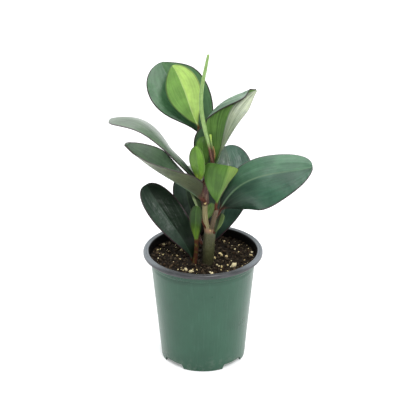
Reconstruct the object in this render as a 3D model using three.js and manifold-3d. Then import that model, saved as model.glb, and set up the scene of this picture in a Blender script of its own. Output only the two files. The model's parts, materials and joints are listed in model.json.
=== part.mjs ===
// Peperomia in a round nursery pot. Millimetres, +Z up, the viewer stands on the -Y side.
import * as THREE from 'three';
import Module from 'manifold-3d';
import { mergeVertices } from 'three/addons/utils/BufferGeometryUtils.js';

const wasm = await Module();
wasm.setup();

// Driving dimensions.
const POT_HEIGHT = 107.5;
const RIM_R = 55;
const COLLAR_R = 50.2;
const BODY_TOP_R = 48.1;
const FOOT_R = 39.2;
const FOOT_INNER_R = 37.4;
const LIP_HEIGHT = 4.2;
const COLLAR_HEIGHT = 5.9;
const FOOT_RECESS = 5.6;
const FLOOR_TOP = 7.2;
const CAVITY_FLOOR_R = 38.3;
const CAVITY_TOP_R = 46.6;
const COLLAR_INNER_R = 49.3;
const MOUTH_R = 49.6;
const POT_SIDES = 56;
const NOTCH_COUNT = 4;
const NOTCH_WIDTH = 21;
const NOTCH_HEIGHT = 4.7;
const NOTCH_SLOPE = 1.5;
const NOTCH_DEPTH = 8;
const NOTCH_TURN = 45;
const DRAIN_R = 4;
const DRAIN_RING_R = 27;
const DRAIN_SIDES = 16;

const SOIL_LEVEL = 98.5;
const SOIL_RINGS = 8;
const SOIL_SIDES = 32;
const SOIL_SWELL = 1;
const SOIL_GAP = 0.3;
const SOIL_EDGE_HEIGHT = 0.3;
const GRAIN_COUNT = 26;
const GRAIN_MIN_R = 0.9;
const GRAIN_MAX_R = 2;
const GRAIN_SUNK = 0.35;
const GRAIN_REACH_R = 44;
const STEM_CLEAR_R = 9;
const SHOOTS_AT = [-8.8, -8.6];
const SHOOTS_CLEAR_R = 6.5;

const GAP = 0.35;
const STALK_SIDES = 10;
const STALK_STEP = 9;
const BLADE_SECTIONS = 11;
const PETIOLE_SECTIONS = 3;
const BLADE_MID = 1.6;
const BLADE_EDGE = 0.9;
const SMALL_BLADE_MID = 1.3;
const RIB = 0.5;
const TIP_HALF_WIDTH = 0.8;
const TIP_T = 0.9995;
const BLEND_T = 0.1;
const FINE_STEPS = 24;
const FULL_FOLD_WIDTH = 5;

// The pot stands off the origin so that the plant's box is centred on it.
const POT_X = -6.3;
const POT_Y = -4.3;

const COLORS = {
  pot: '#46705a',
  soil: '#2b211b',
  stem: '#7d8742',
  spike: '#8fae55',
  spikeSmall: '#9aa04e',
  dark: '#24452f',
  deep: '#1d3b2a',
  green: '#3f7a3a',
  fresh: '#7fb347',
  bright: '#a5cf55',
};

// A leaf: where its petiole starts, the four points that shape its midrib, the way its upper face
// looks at the base and tip (degrees round from the viewer, degrees up), half-widths left and right,
// outline powers [base, tip] for both sides, fold and bend of both halves in degrees. A pinch folds a
// half up at the base only. A roll curls one margin over, from further in the nearer the tip; its
// span is in millimetres.
const LEAVES = [
  {
    name: 'leaf_crown_broad',
    color: COLORS.dark,
    root: [1.5, -5.5, 174.5],
    path: [[1, 18, 207.5], [-0.5, 25, 237.5], [-28.5, 31, 250], [-37.5, 44, 272.5]],
    faces: [[0, 10], [-5, 35]],
    width: [26, 25.3],
    outline: [[1.15, 0.58], [1.05, 0.72]],
    fold: [8, 8],
    bend: [10, 10],
    petiole: 1.6,
  },
  {
    name: 'leaf_crown_curled',
    color: COLORS.green,
    root: [6, -5, 184.5],
    path: [[8, -3, 187], [25.5, 2, 214], [11, 2, 249], [47.5, 16, 255.5]],
    faces: [[-20, 0], [-30, 20]],
    width: [19.2, 21.8],
    outline: [[1.35, 1.1], [1, 0.85]],
    fold: [10, 0],
    pinch: [0, 85],
    bend: [10, 10],
    petiole: 1.5,
    roll: { side: 0, from: 0.4, slope: 1.9, angle: 170, least: 0.08, span: 5.2 },
    columns: [14, 3],
    sections: 22,
  },
  {
    name: 'leaf_crown_young',
    color: COLORS.fresh,
    root: [2, -5.5, 176.5],
    via: [-2.5, 8, 198.5],
    path: [[-4, 13, 223], [-13, 15, 240.5], [-14, 20.5, 255], [-27, 24, 276]],
    faces: [[-10, 10], [0, 30]],
    width: [17.5, 16.5],
    outline: [[1.15, 0.62], [1.15, 0.62]],
    fold: [15, 15],
    bend: [20, 20],
    petiole: 1.1,
  },
  {
    name: 'leaf_crown_back',
    color: COLORS.deep,
    root: [5, -5, 184.5],
    path: [[4.5, -2, 184], [3, 5, 195.5], [3, 9, 208], [6.5, 10, 226]],
    faces: [[0, 0], [0, 20]],
    width: [12.5, 12],
    outline: [[1.05, 0.55], [1.05, 0.55]],
    fold: [5, 5],
    bend: [12, 12],
    petiole: 1,
    columns: [2, 2],
  },
  {
    name: 'leaf_bud_bright',
    color: COLORS.bright,
    root: [0.5, -8, 174.5],
    path: [[-3.5, -12, 180], [-2.5, -14, 191.5], [-5.5, -16.5, 204.5], [-6, -14, 214.5]],
    faces: [[-20, 10], [-20, 30]],
    width: [7.3, 8.2],
    outline: [[0.9, 0.6], [0.9, 0.6]],
    fold: [10, 10],
    bend: [20, 20],
    petiole: 0.9,
    columns: [2, 2],
  },
  {
    name: 'leaf_bud_green',
    color: COLORS.fresh,
    root: [4, -6.5, 182.5],
    path: [[1.5, -7, 189], [0.5, -6.5, 196.5], [-0.5, -8, 211.5], [0.5, -6, 220.5]],
    faces: [[-20, 0], [-20, 20]],
    width: [7, 7],
    outline: [[0.9, 0.6], [0.9, 0.6]],
    fold: [10, 10],
    bend: [20, 20],
    petiole: 0.9,
    columns: [2, 2],
  },
  {
    name: 'leaf_left_upper',
    color: COLORS.dark,
    root: [0.5, -6, 172.5],
    path: [[-3.5, -6.5, 178], [-28.5, -5, 195.5], [-44, 6.5, 241.5], [-82.5, 22, 226.5]],
    faces: [[0, 45], [180, 82]],
    turned: 0.42,
    width: [18.4, 18.4],
    outline: [[2.1, 0.42], [1.25, 0.34]],
    fold: [-5, -5],
    bend: [-10, -10],
    petiole: 1.5,
  },
  {
    name: 'leaf_left_folded',
    color: COLORS.dark,
    root: [1.5, -8, 158.5],
    path: [[-0.5, -12, 162.5], [-29.5, -15, 187.5], [-44.5, -21.5, 193], [-67.5, -26, 221]],
    faces: [[180, 50], [0, 70]],
    width: [17.5, 20],
    outline: [[0.45, 1.25], [0.55, 0.6]],
    fold: [24, 50],
    bend: [10, 15],
    petiole: 1.7,
  },
  {
    name: 'leaf_left_low',
    color: COLORS.deep,
    root: [-9, -6.2, 88.5],
    path: [[-10, -6, 99.5], [-14.5, -7.5, 118], [-33, 2.5, 136], [-52, 16, 165]],
    faces: [[10, 15], [10, 35]],
    width: [14.3, 17],
    outline: [[1.3, 0.38], [0.85, 0.45]],
    fold: [8, 8],
    bend: [10, 10],
    petiole: 1.7,
  },
  {
    name: 'leaf_left_back',
    color: COLORS.deep,
    root: [4, -8, 114.5],
    path: [[-3.5, 1, 118], [-8, 9.5, 134.5], [-18, 20, 153], [-16.5, 27, 171.5]],
    faces: [[5, 10], [5, 20]],
    width: [13, 12],
    outline: [[1, 0.5], [0.7, 0.5]],
    fold: [8, 8],
    bend: [10, 10],
    petiole: 1.5,
    columns: [3, 2],
  },
  {
    name: 'basal_shoot',
    color: COLORS.fresh,
    root: [-8.5, -11, 94.5],
    path: [[-6, -13, 123], [-6.5, -16, 136.5], [-7, -19.5, 148.5], [-5, -18, 158.5]],
    faces: [[-10, 5], [-10, 20]],
    width: [5.6, 5.8],
    outline: [[0.9, 0.42], [0.9, 0.42]],
    fold: [10, 10],
    bend: [20, 20],
    petiole: 1.9,
    columns: [2, 2],
  },
  {
    name: 'leaf_right_wide',
    color: COLORS.dark,
    root: [11, -13.5, 145.5],
    path: [[15, -12, 151], [32.5, -15.5, 193.5], [65.5, -17, 187], [96.5, -22, 197.5]],
    faces: [[0, 35], [0, 60]],
    width: [22, 29],
    outline: [[0.8, 0.42], [0.6, 0.72]],
    fold: [-5, -12],
    bend: [-10, -10],
    petiole: 1.5,
  },
  {
    name: 'leaf_right_bright',
    color: COLORS.fresh,
    root: [12, -14, 153.5],
    path: [[12.5, -19, 162], [16, -22, 172.5], [21.5, -26, 193], [23, -23, 199.5]],
    faces: [[160, 5], [160, -5]],
    width: [11, 23],
    outline: [[2.4, 0.35], [0.8, 0.42]],
    fold: [45, 6],
    bend: [10, 6],
    petiole: 1.4,
  },
  {
    name: 'leaf_right_back',
    color: COLORS.dark,
    root: [6, -8, 110.5],
    path: [[8.5, -4, 114.5], [19, 6.5, 142.5], [34, 9.5, 171], [20, 32, 196]],
    faces: [[5, 15], [5, 50]],
    width: [22, 20.5],
    outline: [[1, 0.5], [1, 0.45]],
    fold: [8, 8],
    bend: [10, 10],
    petiole: 1.7,
  },
  {
    name: 'leaf_axil_tiny',
    color: COLORS.bright,
    root: [5.5, -7, 132.5],
    path: [[3.5, -3, 138.5], [5, -3.5, 145.5], [6.5, -3.5, 147], [8, -5, 155.5]],
    faces: [[10, 5], [10, 20]],
    width: [4, 4.5],
    outline: [[0.7, 0.3], [0.7, 0.3]],
    fold: [10, 10],
    bend: [20, 20],
    petiole: 0.8,
    columns: [2, 2],
  },
  {
    name: 'leaf_axil_folded',
    color: COLORS.fresh,
    root: [8, -10, 126.5],
    path: [[10.5, -12, 130], [14, -13.5, 137], [14.5, -10, 141], [17, -7, 146.5]],
    faces: [[0, 5], [0, 20]],
    width: [4, 4.2],
    outline: [[0.9, 0.35], [0.9, 0.35]],
    fold: [30, 30],
    bend: [20, 20],
    petiole: 0.9,
    columns: [2, 2],
  },
  {
    name: 'leaf_axil_left',
    color: COLORS.green,
    root: [5, -9.5, 130.5],
    path: [[-2, -13, 146.5], [-3, -13.5, 155], [-7, -9, 163], [-12.5, -5, 174.5]],
    faces: [[10, 10], [10, 20]],
    width: [2.3, 2.7],
    outline: [[0.8, 0.5], [0.8, 0.5]],
    fold: [20, 20],
    bend: [10, 10],
    petiole: 0.8,
    columns: [2, 2],
  },
  {
    name: 'leaf_rear_right',
    color: COLORS.dark,
    root: [5, -7, 126.5],
    path: [[5, 5, 130.5], [12, 22.5, 156], [22.5, 41.5, 161.5], [31, 62, 152.5]],
    faces: [[0, 70], [180, 70]],
    width: [18, 18],
    outline: [[1.1, 0.5], [1.1, 0.5]],
    fold: [8, 8],
    bend: [10, 10],
    petiole: 1.6,
  },
  {
    name: 'leaf_rear_left',
    color: COLORS.green,
    root: [1.5, -5, 149.5],
    path: [[2, 5, 152.5], [2.5, 22, 170], [-2, 39, 174], [-6, 56, 164.5]],
    faces: [[0, 70], [180, 70]],
    width: [12, 12],
    outline: [[1.3, 0.5], [1.3, 0.5]],
    fold: [8, 8],
    bend: [10, 10],
    petiole: 1.3,
  },
];

// Stalks: points on the centre line and the radius there.
const STEM = {
  points: [[4, -11, 74.5], [4, -11, 90.5], [5, -10, 114.5], [5.8, -9.2, 127.5], [3.4, -8.6, 134.5],
    [2.2, -8, 141.5], [1.7, -7.5, 152.5], [1.8, -7, 159.5], [1.5, -6, 173.5], [5, -6, 186.5]],
  radii: [5.6, 5.6, 5.6, 5.2, 2.6, 2.4, 2.4, 3.5, 3.3, 2.4],
};
const BRANCH = {
  points: [[7, -10, 126.5], [9.5, -12.5, 141.5], [12.5, -15, 154.5]],
  radii: [2.4, 2.3, 2.1],
};
const SPIKE = {
  points: [[5, -8, 184.5], [8, -11.5, 194.5], [5.5, -13.5, 214.5], [2, -14.5, 230], [-0.5, -15, 243.5],
    [-1.5, -15, 257.5], [0, -15, 273], [2.5, -14, 285.5], [5, -14, 298.5]],
  radii: [1.3, 1.3, 1.3, 1.8, 1.8, 1.8, 1.6, 1.4, 0.7],
};
const YOUNG_SPIKE = {
  points: [[7.6, -7.4, 184.5], [9.6, -8.6, 198.5], [8, -10.5, 213], [6.5, -11, 224.5]],
  radii: [0.8, 0.8, 0.8, 1],
};
const THIN_STALK = {
  points: [[9.4, -8.4, 196.5], [10.6, -8.4, 204.5], [9.2, -8, 212]],
  radii: [0.6, 0.5, 0.5],
};
// A leaf scar and a resting bud on the stem: middle, outward direction, radius.
const SCARS = [
  { at: [2, -10.2, 158.3], out: [0, -1, 0.1], radius: 1.9 },
  { at: [6.9, -12.6, 132.2], out: [0, -1, 0.2], radius: 1.3 },
];
const SCAR_HALF_THICKNESS = 0.6;
const SCAR_SIDES = 12;

const vector = (p) => new THREE.Vector3(p[0], p[1], p[2]);
const radians = THREE.MathUtils.degToRad;
const smooth = (x) => THREE.MathUtils.smoothstep(x, 0, 1);

// A fixed random sequence.
let seed = 20241;
function random() {
  seed = (seed * 16807) % 2147483647;
  return seed / 2147483647;
}

function solidOf(geometry) {
  const plain = geometry.index ? geometry.toNonIndexed() : geometry.clone();
  plain.deleteAttribute('normal');
  plain.deleteAttribute('uv');
  const welded = mergeVertices(plain, 1e-4);
  const mesh = new wasm.Mesh({
    numProp: 3,
    vertProperties: new Float32Array(welded.attributes.position.array),
    triVerts: new Uint32Array(welded.index.array),
  });
  const solid = new wasm.Manifold(mesh);
  if (solid.volume() <= 0) {
    throw new Error('a closed body is inside out or empty');
  }
  return solid;
}

function geometryOf(solid) {
  const mesh = solid.getMesh();
  const geometry = new THREE.BufferGeometry();
  geometry.setAttribute('position', new THREE.BufferAttribute(mesh.vertProperties, 3));
  geometry.setIndex(new THREE.BufferAttribute(mesh.triVerts, 1));
  return geometry;
}

// Skins closed rings of equal length that run counter-clockwise about the way forward. The first
// half of each ring is the upper face and the second half the lower one, split alike.
function loft(rings) {
  const count = rings[0].length;
  const half = count / 2;
  const triangles = [];
  const put = (a, b, c) => triangles.push(...a.toArray(), ...b.toArray(), ...c.toArray());
  for (let i = 0; i + 1 < rings.length; i += 1) {
    for (let j = 0; j < count; j += 1) {
      const next = (j + 1) % count;
      const a = rings[i][j];
      const b = rings[i][next];
      const c = rings[i + 1][next];
      const d = rings[i + 1][j];
      if (j < half) {
        put(a, b, c);
        put(a, c, d);
      } else {
        put(a, b, d);
        put(b, c, d);
      }
    }
  }
  const first = rings[0];
  const last = rings[rings.length - 1];
  for (let j = 0; j + 1 < half; j += 1) {
    const under = count - 1 - j;
    put(last[j], last[j + 1], last[under]);
    put(last[j + 1], last[under - 1], last[under]);
    put(first[j + 1], first[j], first[under]);
    put(first[under - 1], first[j + 1], first[under]);
  }
  const geometry = new THREE.BufferGeometry();
  geometry.setAttribute('position', new THREE.Float32BufferAttribute(triangles, 3));
  return solidOf(geometry);
}

// A round stalk along a smooth line, fatter all round and at its ends by the margin.
function stalk(spec, margin, step) {
  const curve = new THREE.CatmullRomCurve3(spec.points.map(vector), false, 'centripetal');
  const sections = Math.max(3, Math.round(curve.getLength() / step));
  const frames = curve.computeFrenetFrames(sections, false);
  const rings = [];
  for (let i = 0; i <= sections; i += 1) {
    const u = i / sections;
    const t = curve.getUtoTmapping(u) * (spec.radii.length - 1);
    const k = Math.min(Math.floor(t), spec.radii.length - 2);
    const radius = THREE.MathUtils.lerp(spec.radii[k], spec.radii[k + 1], t - k) + margin;
    const middle = curve.getPointAt(u);
    if (i === 0) {
      middle.addScaledVector(frames.tangents[0], -margin);
    }
    if (i === sections) {
      middle.addScaledVector(frames.tangents[i], margin);
    }
    const ring = [];
    for (let j = 0; j < STALK_SIDES; j += 1) {
      const angle = (2 * Math.PI * j) / STALK_SIDES;
      ring.push(middle.clone()
        .addScaledVector(frames.normals[i], radius * Math.cos(angle))
        .addScaledVector(frames.binormals[i], radius * Math.sin(angle)));
    }
    rings.push(ring);
  }
  return loft(rings);
}

function facing([azimuth, elevation]) {
  const a = radians(azimuth);
  const e = radians(elevation);
  return new THREE.Vector3(Math.sin(a) * Math.cos(e), -Math.cos(a) * Math.cos(e), Math.sin(e));
}

function outlineAt(t, [base, tip]) {
  const widest = base / (base + tip);
  return (t ** base * (1 - t) ** tip) / (widest ** base * (1 - widest) ** tip);
}

// Half of a blade's cross-section: distance out, height and slope at each column.
function halfSection(leaf, side, t, halfWidth, columns) {
  const points = [];
  const span = halfWidth / (columns * FINE_STEPS);
  let out = 0;
  let height = 0;
  let slope = radians(leaf.fold[side]);
  for (let k = 1; k <= columns; k += 1) {
    for (let i = 0; i < FINE_STEPS; i += 1) {
      const v = (k - 1 + (i + 0.5) / FINE_STEPS) / columns;
      slope = radians(leaf.fold[side] + leaf.bend[side] * v);
      if (leaf.pinch) {
        slope += radians(leaf.pinch[side]) * (1 - t);
      }
      if (leaf.roll && leaf.roll.side === side) {
        const start = Math.max(leaf.roll.least, 1 - leaf.roll.slope * (t - leaf.roll.from));
        slope += radians(leaf.roll.angle) * smooth(((v - start) * halfWidth) / leaf.roll.span);
      }
      slope *= Math.min(1, halfWidth / FULL_FOLD_WIDTH);
      out += span * Math.cos(slope);
      height += span * Math.sin(slope);
    }
    points.push({ out, height, slope, v: k / columns });
  }
  return points;
}

function across(upper, tangent) {
  return upper.addScaledVector(tangent, -upper.dot(tangent)).normalize();
}

// One leaf with its petiole, fatter by the margin all round.
function leafSolid(leaf, margin) {
  const columns = leaf.columns ?? [3, 3];
  const total = columns[0] + columns[1];
  const radius = leaf.petiole + margin;
  const midrib = new THREE.CubicBezierCurve3(...leaf.path.map(vector));
  const steps = leaf.sections ?? BLADE_SECTIONS;
  const blade = [];
  for (let i = 0; i <= steps; i += 1) {
    const t = Math.min(TIP_T, 0.5 - 0.5 * Math.cos((Math.PI * i) / steps));
    const tangent = midrib.getTangent(t);
    const turn = leaf.turned ? smooth(t / leaf.turned) : t;
    const upper = across(facing(leaf.faces[0]).lerp(facing(leaf.faces[1]), turn), tangent);
    blade.push({ t, middle: midrib.getPoint(t), tangent, upper });
  }

  const base = blade[0];
  const root = vector(leaf.root);
  const reach = 0.5 * base.middle.distanceTo(root);
  const bow = leaf.via ? vector(leaf.via) : base.middle.clone().addScaledVector(base.tangent, -reach);
  const petiole = new THREE.QuadraticBezierCurve3(root, bow, base.middle);
  const sections = [];
  let upper = base.upper.clone();
  for (let i = PETIOLE_SECTIONS - 1; i >= 0; i -= 1) {
    const u = i / PETIOLE_SECTIONS;
    const tangent = petiole.getTangent(u);
    const middle = petiole.getPoint(u);
    upper = across(upper.clone(), tangent);
    if (i === 0) {
      middle.addScaledVector(tangent, -margin);
    }
    sections.unshift({ t: 0, middle, tangent, upper: upper.clone() });
  }

  const rings = [...sections, ...blade].map((section) => {
    const sideways = section.tangent.clone().cross(section.upper);
    const round = [];
    for (let k = 0; k <= total; k += 1) {
      round.push(radians(170 - (160 * k) / total));
    }
    const circle = [...round, ...round.map((a) => -a).reverse()].map((a) => section.middle.clone()
      .addScaledVector(sideways, radius * Math.cos(a))
      .addScaledVector(section.upper, radius * Math.sin(a)));
    const share = smooth(section.t / BLEND_T);
    if (share === 0) {
      return circle;
    }
    const middleThickness = (leaf.columns && total < 6 ? SMALL_BLADE_MID : BLADE_MID);
    const rows = [0, 1].map((side) => {
      const sign = side === 0 ? -1 : 1;
      const open = leaf.width[side] * outlineAt(section.t, leaf.outline[side]);
      const halfWidth = Math.max(Math.hypot(open, radius - margin), TIP_HALF_WIDTH) + margin;
      return halfSection(leaf, side, section.t, halfWidth, columns[side]).map((point) => ({
        ...point,
        sign,
      }));
    });
    const row = [
      ...rows[0].reverse(),
      { out: 0, height: 0, slope: 0, v: 0, sign: 1 },
      ...rows[1],
    ];
    const skin = (face) => row.map((point) => {
      const thickness = THREE.MathUtils.lerp(middleThickness, BLADE_EDGE, point.v) / 2 + margin;
      const rib = face < 0 && point.v === 0 ? RIB * (1 - section.t) : 0;
      const lift = face * (thickness + rib);
      const shift = -point.sign * Math.sin(point.slope) * lift;
      return section.middle.clone()
        .addScaledVector(sideways, point.sign * point.out + shift)
        .addScaledVector(section.upper, point.height + Math.cos(point.slope) * lift);
    });
    const flat = [...skin(1), ...skin(-1).reverse()];
    return circle.map((point, k) => point.lerp(flat[k], share));
  });
  return loft(rings);
}

function potSolid() {
  const lipBottom = POT_HEIGHT - LIP_HEIGHT;
  const collarBottom = lipBottom - COLLAR_HEIGHT;
  const profile = [
    [FOOT_INNER_R, 0],
    [FOOT_R, 0],
    [FOOT_R + 0.3, 3],
    [BODY_TOP_R, collarBottom - 0.6],
    [COLLAR_R - 0.6, collarBottom],
    [COLLAR_R, collarBottom + 0.8],
    [COLLAR_R, lipBottom - 0.6],
    [COLLAR_R + 0.8, lipBottom],
    [RIM_R - 0.9, lipBottom],
    [RIM_R, lipBottom + 0.9],
    [RIM_R, POT_HEIGHT - 1.3],
    [RIM_R - 0.7, POT_HEIGHT - 0.3],
    [RIM_R - 1.8, POT_HEIGHT],
    [MOUTH_R + 1.6, POT_HEIGHT],
    [MOUTH_R + 0.5, POT_HEIGHT - 0.6],
    [MOUTH_R, POT_HEIGHT - 1.8],
    [COLLAR_INNER_R, collarBottom + 0.9],
    [CAVITY_TOP_R, collarBottom - 0.7],
    [CAVITY_FLOOR_R, FLOOR_TOP],
    [0, FLOOR_TOP],
    [0, FOOT_RECESS],
    [FOOT_INNER_R, FOOT_RECESS],
    [FOOT_INNER_R, 0],
  ];
  const lathe = new THREE.LatheGeometry(profile.map(([r, z]) => new THREE.Vector2(r, z)), POT_SIDES);
  lathe.rotateX(Math.PI / 2);
  let pot = solidOf(lathe);
  for (let i = 0; i < NOTCH_COUNT; i += 1) {
    const angle = radians(NOTCH_TURN + (i * 360) / NOTCH_COUNT);
    const halfWidth = NOTCH_WIDTH / 2;
    const outline = new THREE.Shape([
      new THREE.Vector2(-halfWidth - NOTCH_SLOPE, -1),
      new THREE.Vector2(halfWidth + NOTCH_SLOPE, -1),
      new THREE.Vector2(halfWidth + NOTCH_SLOPE, 0),
      new THREE.Vector2(halfWidth, NOTCH_HEIGHT),
      new THREE.Vector2(-halfWidth, NOTCH_HEIGHT),
      new THREE.Vector2(-halfWidth - NOTCH_SLOPE, 0),
    ]);
    const notch = new THREE.ExtrudeGeometry(outline, { depth: NOTCH_DEPTH, bevelEnabled: false });
    notch.rotateX(Math.PI / 2);
    notch.rotateZ(Math.PI / 2);
    notch.translate(FOOT_INNER_R - NOTCH_DEPTH / 2, 0, 0);
    notch.rotateZ(angle);
    pot = pot.subtract(solidOf(notch));
    const drain = new THREE.CylinderGeometry(DRAIN_R, DRAIN_R, 3 * FLOOR_TOP, DRAIN_SIDES);
    drain.rotateX(Math.PI / 2);
    drain.translate(DRAIN_RING_R * Math.cos(angle), DRAIN_RING_R * Math.sin(angle), FLOOR_TOP);
    pot = pot.subtract(solidOf(drain));
  }
  return pot;
}

function soilHeight(x, y) {
  const broad = Math.sin(x / 9 + 0.7) * Math.cos(y / 11);
  const small = Math.sin(x / 3.1 + y / 4.3) * Math.cos(y / 3.7 - x / 6);
  return SOIL_LEVEL + SOIL_SWELL * (0.7 * broad + 0.5 * small);
}

// A perlite or bark grain set into the soil.
function grain(x, y, radius) {
  const stone = new THREE.IcosahedronGeometry(radius, 0);
  stone.scale(0.8 + 0.5 * random(), 0.8 + 0.5 * random(), 0.7 + 0.3 * random());
  stone.rotateX(6 * random());
  stone.rotateZ(6 * random());
  stone.translate(x, y, soilHeight(x, y) + radius * GRAIN_SUNK);
  return solidOf(stone);
}

// Grains that stand out: place on the soil and radius.
const GRAINS = [
  [15.7, 5.2, 2], [21.5, 1.1, 1.6], [28.2, -19.4, 2.9], [45.4, 10, 1.8], [44.6, 2.5, 1.5],
  [-15.3, -27.5, 1.8], [-11, -31.8, 1.6], [8.2, -31.4, 1.9], [10.6, -1, 1.6], [12.8, -16.4, 1.6],
  [17, -20, 1.8], [-42, 13, 1.8], [-36.9, 25, 2], [-20, 14, 1.9],
];

function soilSolid() {
  const collarBottom = POT_HEIGHT - LIP_HEIGHT - COLLAR_HEIGHT;
  const edgeR = COLLAR_INNER_R - SOIL_GAP;
  const levels = [
    [CAVITY_FLOOR_R - SOIL_GAP, FLOOR_TOP + SOIL_GAP],
    [CAVITY_TOP_R - SOIL_GAP, collarBottom - 0.7 + SOIL_GAP],
    [edgeR, collarBottom + 0.9 + SOIL_GAP],
  ];
  const lowestEdge = levels[levels.length - 1][1] + SOIL_EDGE_HEIGHT;
  const at = (r, j, z) => {
    const angle = (2 * Math.PI * j) / SOIL_SIDES;
    const x = r * Math.cos(angle);
    const y = r * Math.sin(angle);
    const surface = r < edgeR ? soilHeight(x, y) : Math.max(soilHeight(x, y), lowestEdge);
    return new THREE.Vector3(x, y, z ?? surface);
  };
  const rings = levels.map(([r, z]) => Array.from({ length: SOIL_SIDES }, (_, j) => at(r, j, z)));
  for (let i = SOIL_RINGS; i > 0; i -= 1) {
    rings.push(Array.from({ length: SOIL_SIDES }, (_, j) => at((edgeR * i) / SOIL_RINGS, j)));
  }
  const triangles = [];
  const put = (a, b, c) => triangles.push(...a.toArray(), ...b.toArray(), ...c.toArray());
  const bottom = new THREE.Vector3(0, 0, levels[0][1]);
  const top = new THREE.Vector3(0, 0, soilHeight(0, 0));
  for (let j = 0; j < SOIL_SIDES; j += 1) {
    const next = (j + 1) % SOIL_SIDES;
    for (let i = 0; i + 1 < rings.length; i += 1) {
      put(rings[i][j], rings[i][next], rings[i + 1][next]);
      put(rings[i][j], rings[i + 1][next], rings[i + 1][j]);
    }
    put(bottom, rings[0][next], rings[0][j]);
    put(top, rings[rings.length - 1][j], rings[rings.length - 1][next]);
  }
  const geometry = new THREE.BufferGeometry();
  geometry.setAttribute('position', new THREE.Float32BufferAttribute(triangles, 3));
  let soil = solidOf(geometry);
  for (const [x, y, radius] of GRAINS) {
    soil = soil.add(grain(x, y, radius));
  }
  let placed = 0;
  while (placed < GRAIN_COUNT) {
    const angle = 2 * Math.PI * random();
    const far = GRAIN_REACH_R * Math.sqrt(random());
    const x = far * Math.cos(angle);
    const y = far * Math.sin(angle);
    const free = Math.hypot(x - STEM.points[0][0], y - STEM.points[0][1]) > STEM_CLEAR_R
      && Math.hypot(x - SHOOTS_AT[0], y - SHOOTS_AT[1]) > SHOOTS_CLEAR_R;
    if (free) {
      soil = soil.add(grain(x, y, THREE.MathUtils.lerp(GRAIN_MIN_R, GRAIN_MAX_R, random())));
      placed += 1;
    }
  }
  return soil;
}

function stemSolid(margin) {
  let stem = stalk(STEM, margin, STALK_STEP).add(stalk(BRANCH, margin, STALK_STEP));
  for (const { at, out, radius } of SCARS) {
    const thickness = 2 * (SCAR_HALF_THICKNESS + margin);
    const scar = new THREE.CylinderGeometry(radius * 0.8 + margin, radius + margin, thickness, SCAR_SIDES);
    const turn = new THREE.Quaternion().setFromUnitVectors(
      new THREE.Vector3(0, 1, 0),
      vector(out).normalize(),
    );
    scar.applyQuaternion(turn);
    scar.translate(at[0], at[1], at[2]);
    stem = stem.add(solidOf(scar));
  }
  return stem;
}

function overlaps(a, b) {
  const p = a.boundingBox();
  const q = b.boundingBox();
  return [0, 1, 2].every((k) => p.min[k] < q.max[k] && q.min[k] < p.max[k]);
}

function largestPiece(solid) {
  const pieces = solid.decompose();
  pieces.sort((a, b) => b.volume() - a.volume());
  return pieces[0];
}

const group = new THREE.Group();
group.name = 'potted_peperomia';
const cleared = [];

// Adds a piece, cut clear of all that stand before it.
function addPiece(name, color, solid, clearance) {
  let piece = solid;
  for (const other of cleared) {
    if (overlaps(piece, other)) {
      piece = piece.subtract(other);
    }
  }
  const geometry = geometryOf(largestPiece(piece));
  geometry.translate(POT_X, POT_Y, 0);
  const mesh = new THREE.Mesh(geometry, new THREE.MeshStandardMaterial({ color, roughness: 0.5 }));
  mesh.name = name;
  group.add(mesh);
  if (clearance) {
    cleared.push(clearance);
  }
}

addPiece('pot', COLORS.pot, potSolid(), null);
addPiece('stem', COLORS.stem, stemSolid(0), stemSolid(GAP));
const spikeStep = STALK_STEP * 0.8;
addPiece('spike_tall', COLORS.spike, stalk(SPIKE, 0, spikeStep), stalk(SPIKE, GAP, spikeStep));
const youngSpike = (margin) => stalk(YOUNG_SPIKE, margin, STALK_STEP)
  .add(stalk(THIN_STALK, margin, STALK_STEP / 2));
addPiece('spike_small', COLORS.spikeSmall, youngSpike(0), youngSpike(GAP));
for (const leaf of LEAVES) {
  addPiece(leaf.name, leaf.color, leafSolid(leaf, 0), leafSolid(leaf, GAP));
}
addPiece('soil', COLORS.soil, soilSolid(), null);

export default group;
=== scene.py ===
import json
import math
import random

import bpy
import numpy as np
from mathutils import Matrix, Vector, noise


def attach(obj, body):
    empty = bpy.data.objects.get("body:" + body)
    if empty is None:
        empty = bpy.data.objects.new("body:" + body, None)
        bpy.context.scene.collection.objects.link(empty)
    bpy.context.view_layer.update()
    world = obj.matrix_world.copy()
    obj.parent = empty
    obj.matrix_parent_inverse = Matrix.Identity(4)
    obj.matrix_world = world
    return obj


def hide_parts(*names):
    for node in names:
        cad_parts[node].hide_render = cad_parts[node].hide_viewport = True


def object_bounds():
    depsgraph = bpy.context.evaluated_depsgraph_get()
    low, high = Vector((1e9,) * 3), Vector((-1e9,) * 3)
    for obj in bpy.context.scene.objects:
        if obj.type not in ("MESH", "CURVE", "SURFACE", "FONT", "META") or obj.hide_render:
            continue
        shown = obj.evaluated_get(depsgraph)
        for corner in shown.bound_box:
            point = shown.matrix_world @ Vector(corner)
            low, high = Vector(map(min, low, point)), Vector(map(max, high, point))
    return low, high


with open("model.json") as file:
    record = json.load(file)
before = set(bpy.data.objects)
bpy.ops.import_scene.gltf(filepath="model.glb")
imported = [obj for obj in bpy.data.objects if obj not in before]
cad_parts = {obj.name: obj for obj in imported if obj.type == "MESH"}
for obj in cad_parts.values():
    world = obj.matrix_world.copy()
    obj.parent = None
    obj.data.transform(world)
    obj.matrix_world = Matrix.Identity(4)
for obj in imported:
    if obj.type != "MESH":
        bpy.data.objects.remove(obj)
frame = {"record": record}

bl_info = {
    "name": "Potted peperomia",
    "version": (1, 0, 0),
    "blender": (4, 5, 0),
    "location": "View3D > Sidebar > Peperomia",
    "description": "Thick waxy leaves, flower spikes, stem, potting soil and a nursery pot",
    "category": "Object",
}

CAD_BOX = [list(corner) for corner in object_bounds()]
BODY = "root"
MM = 0.001
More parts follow.
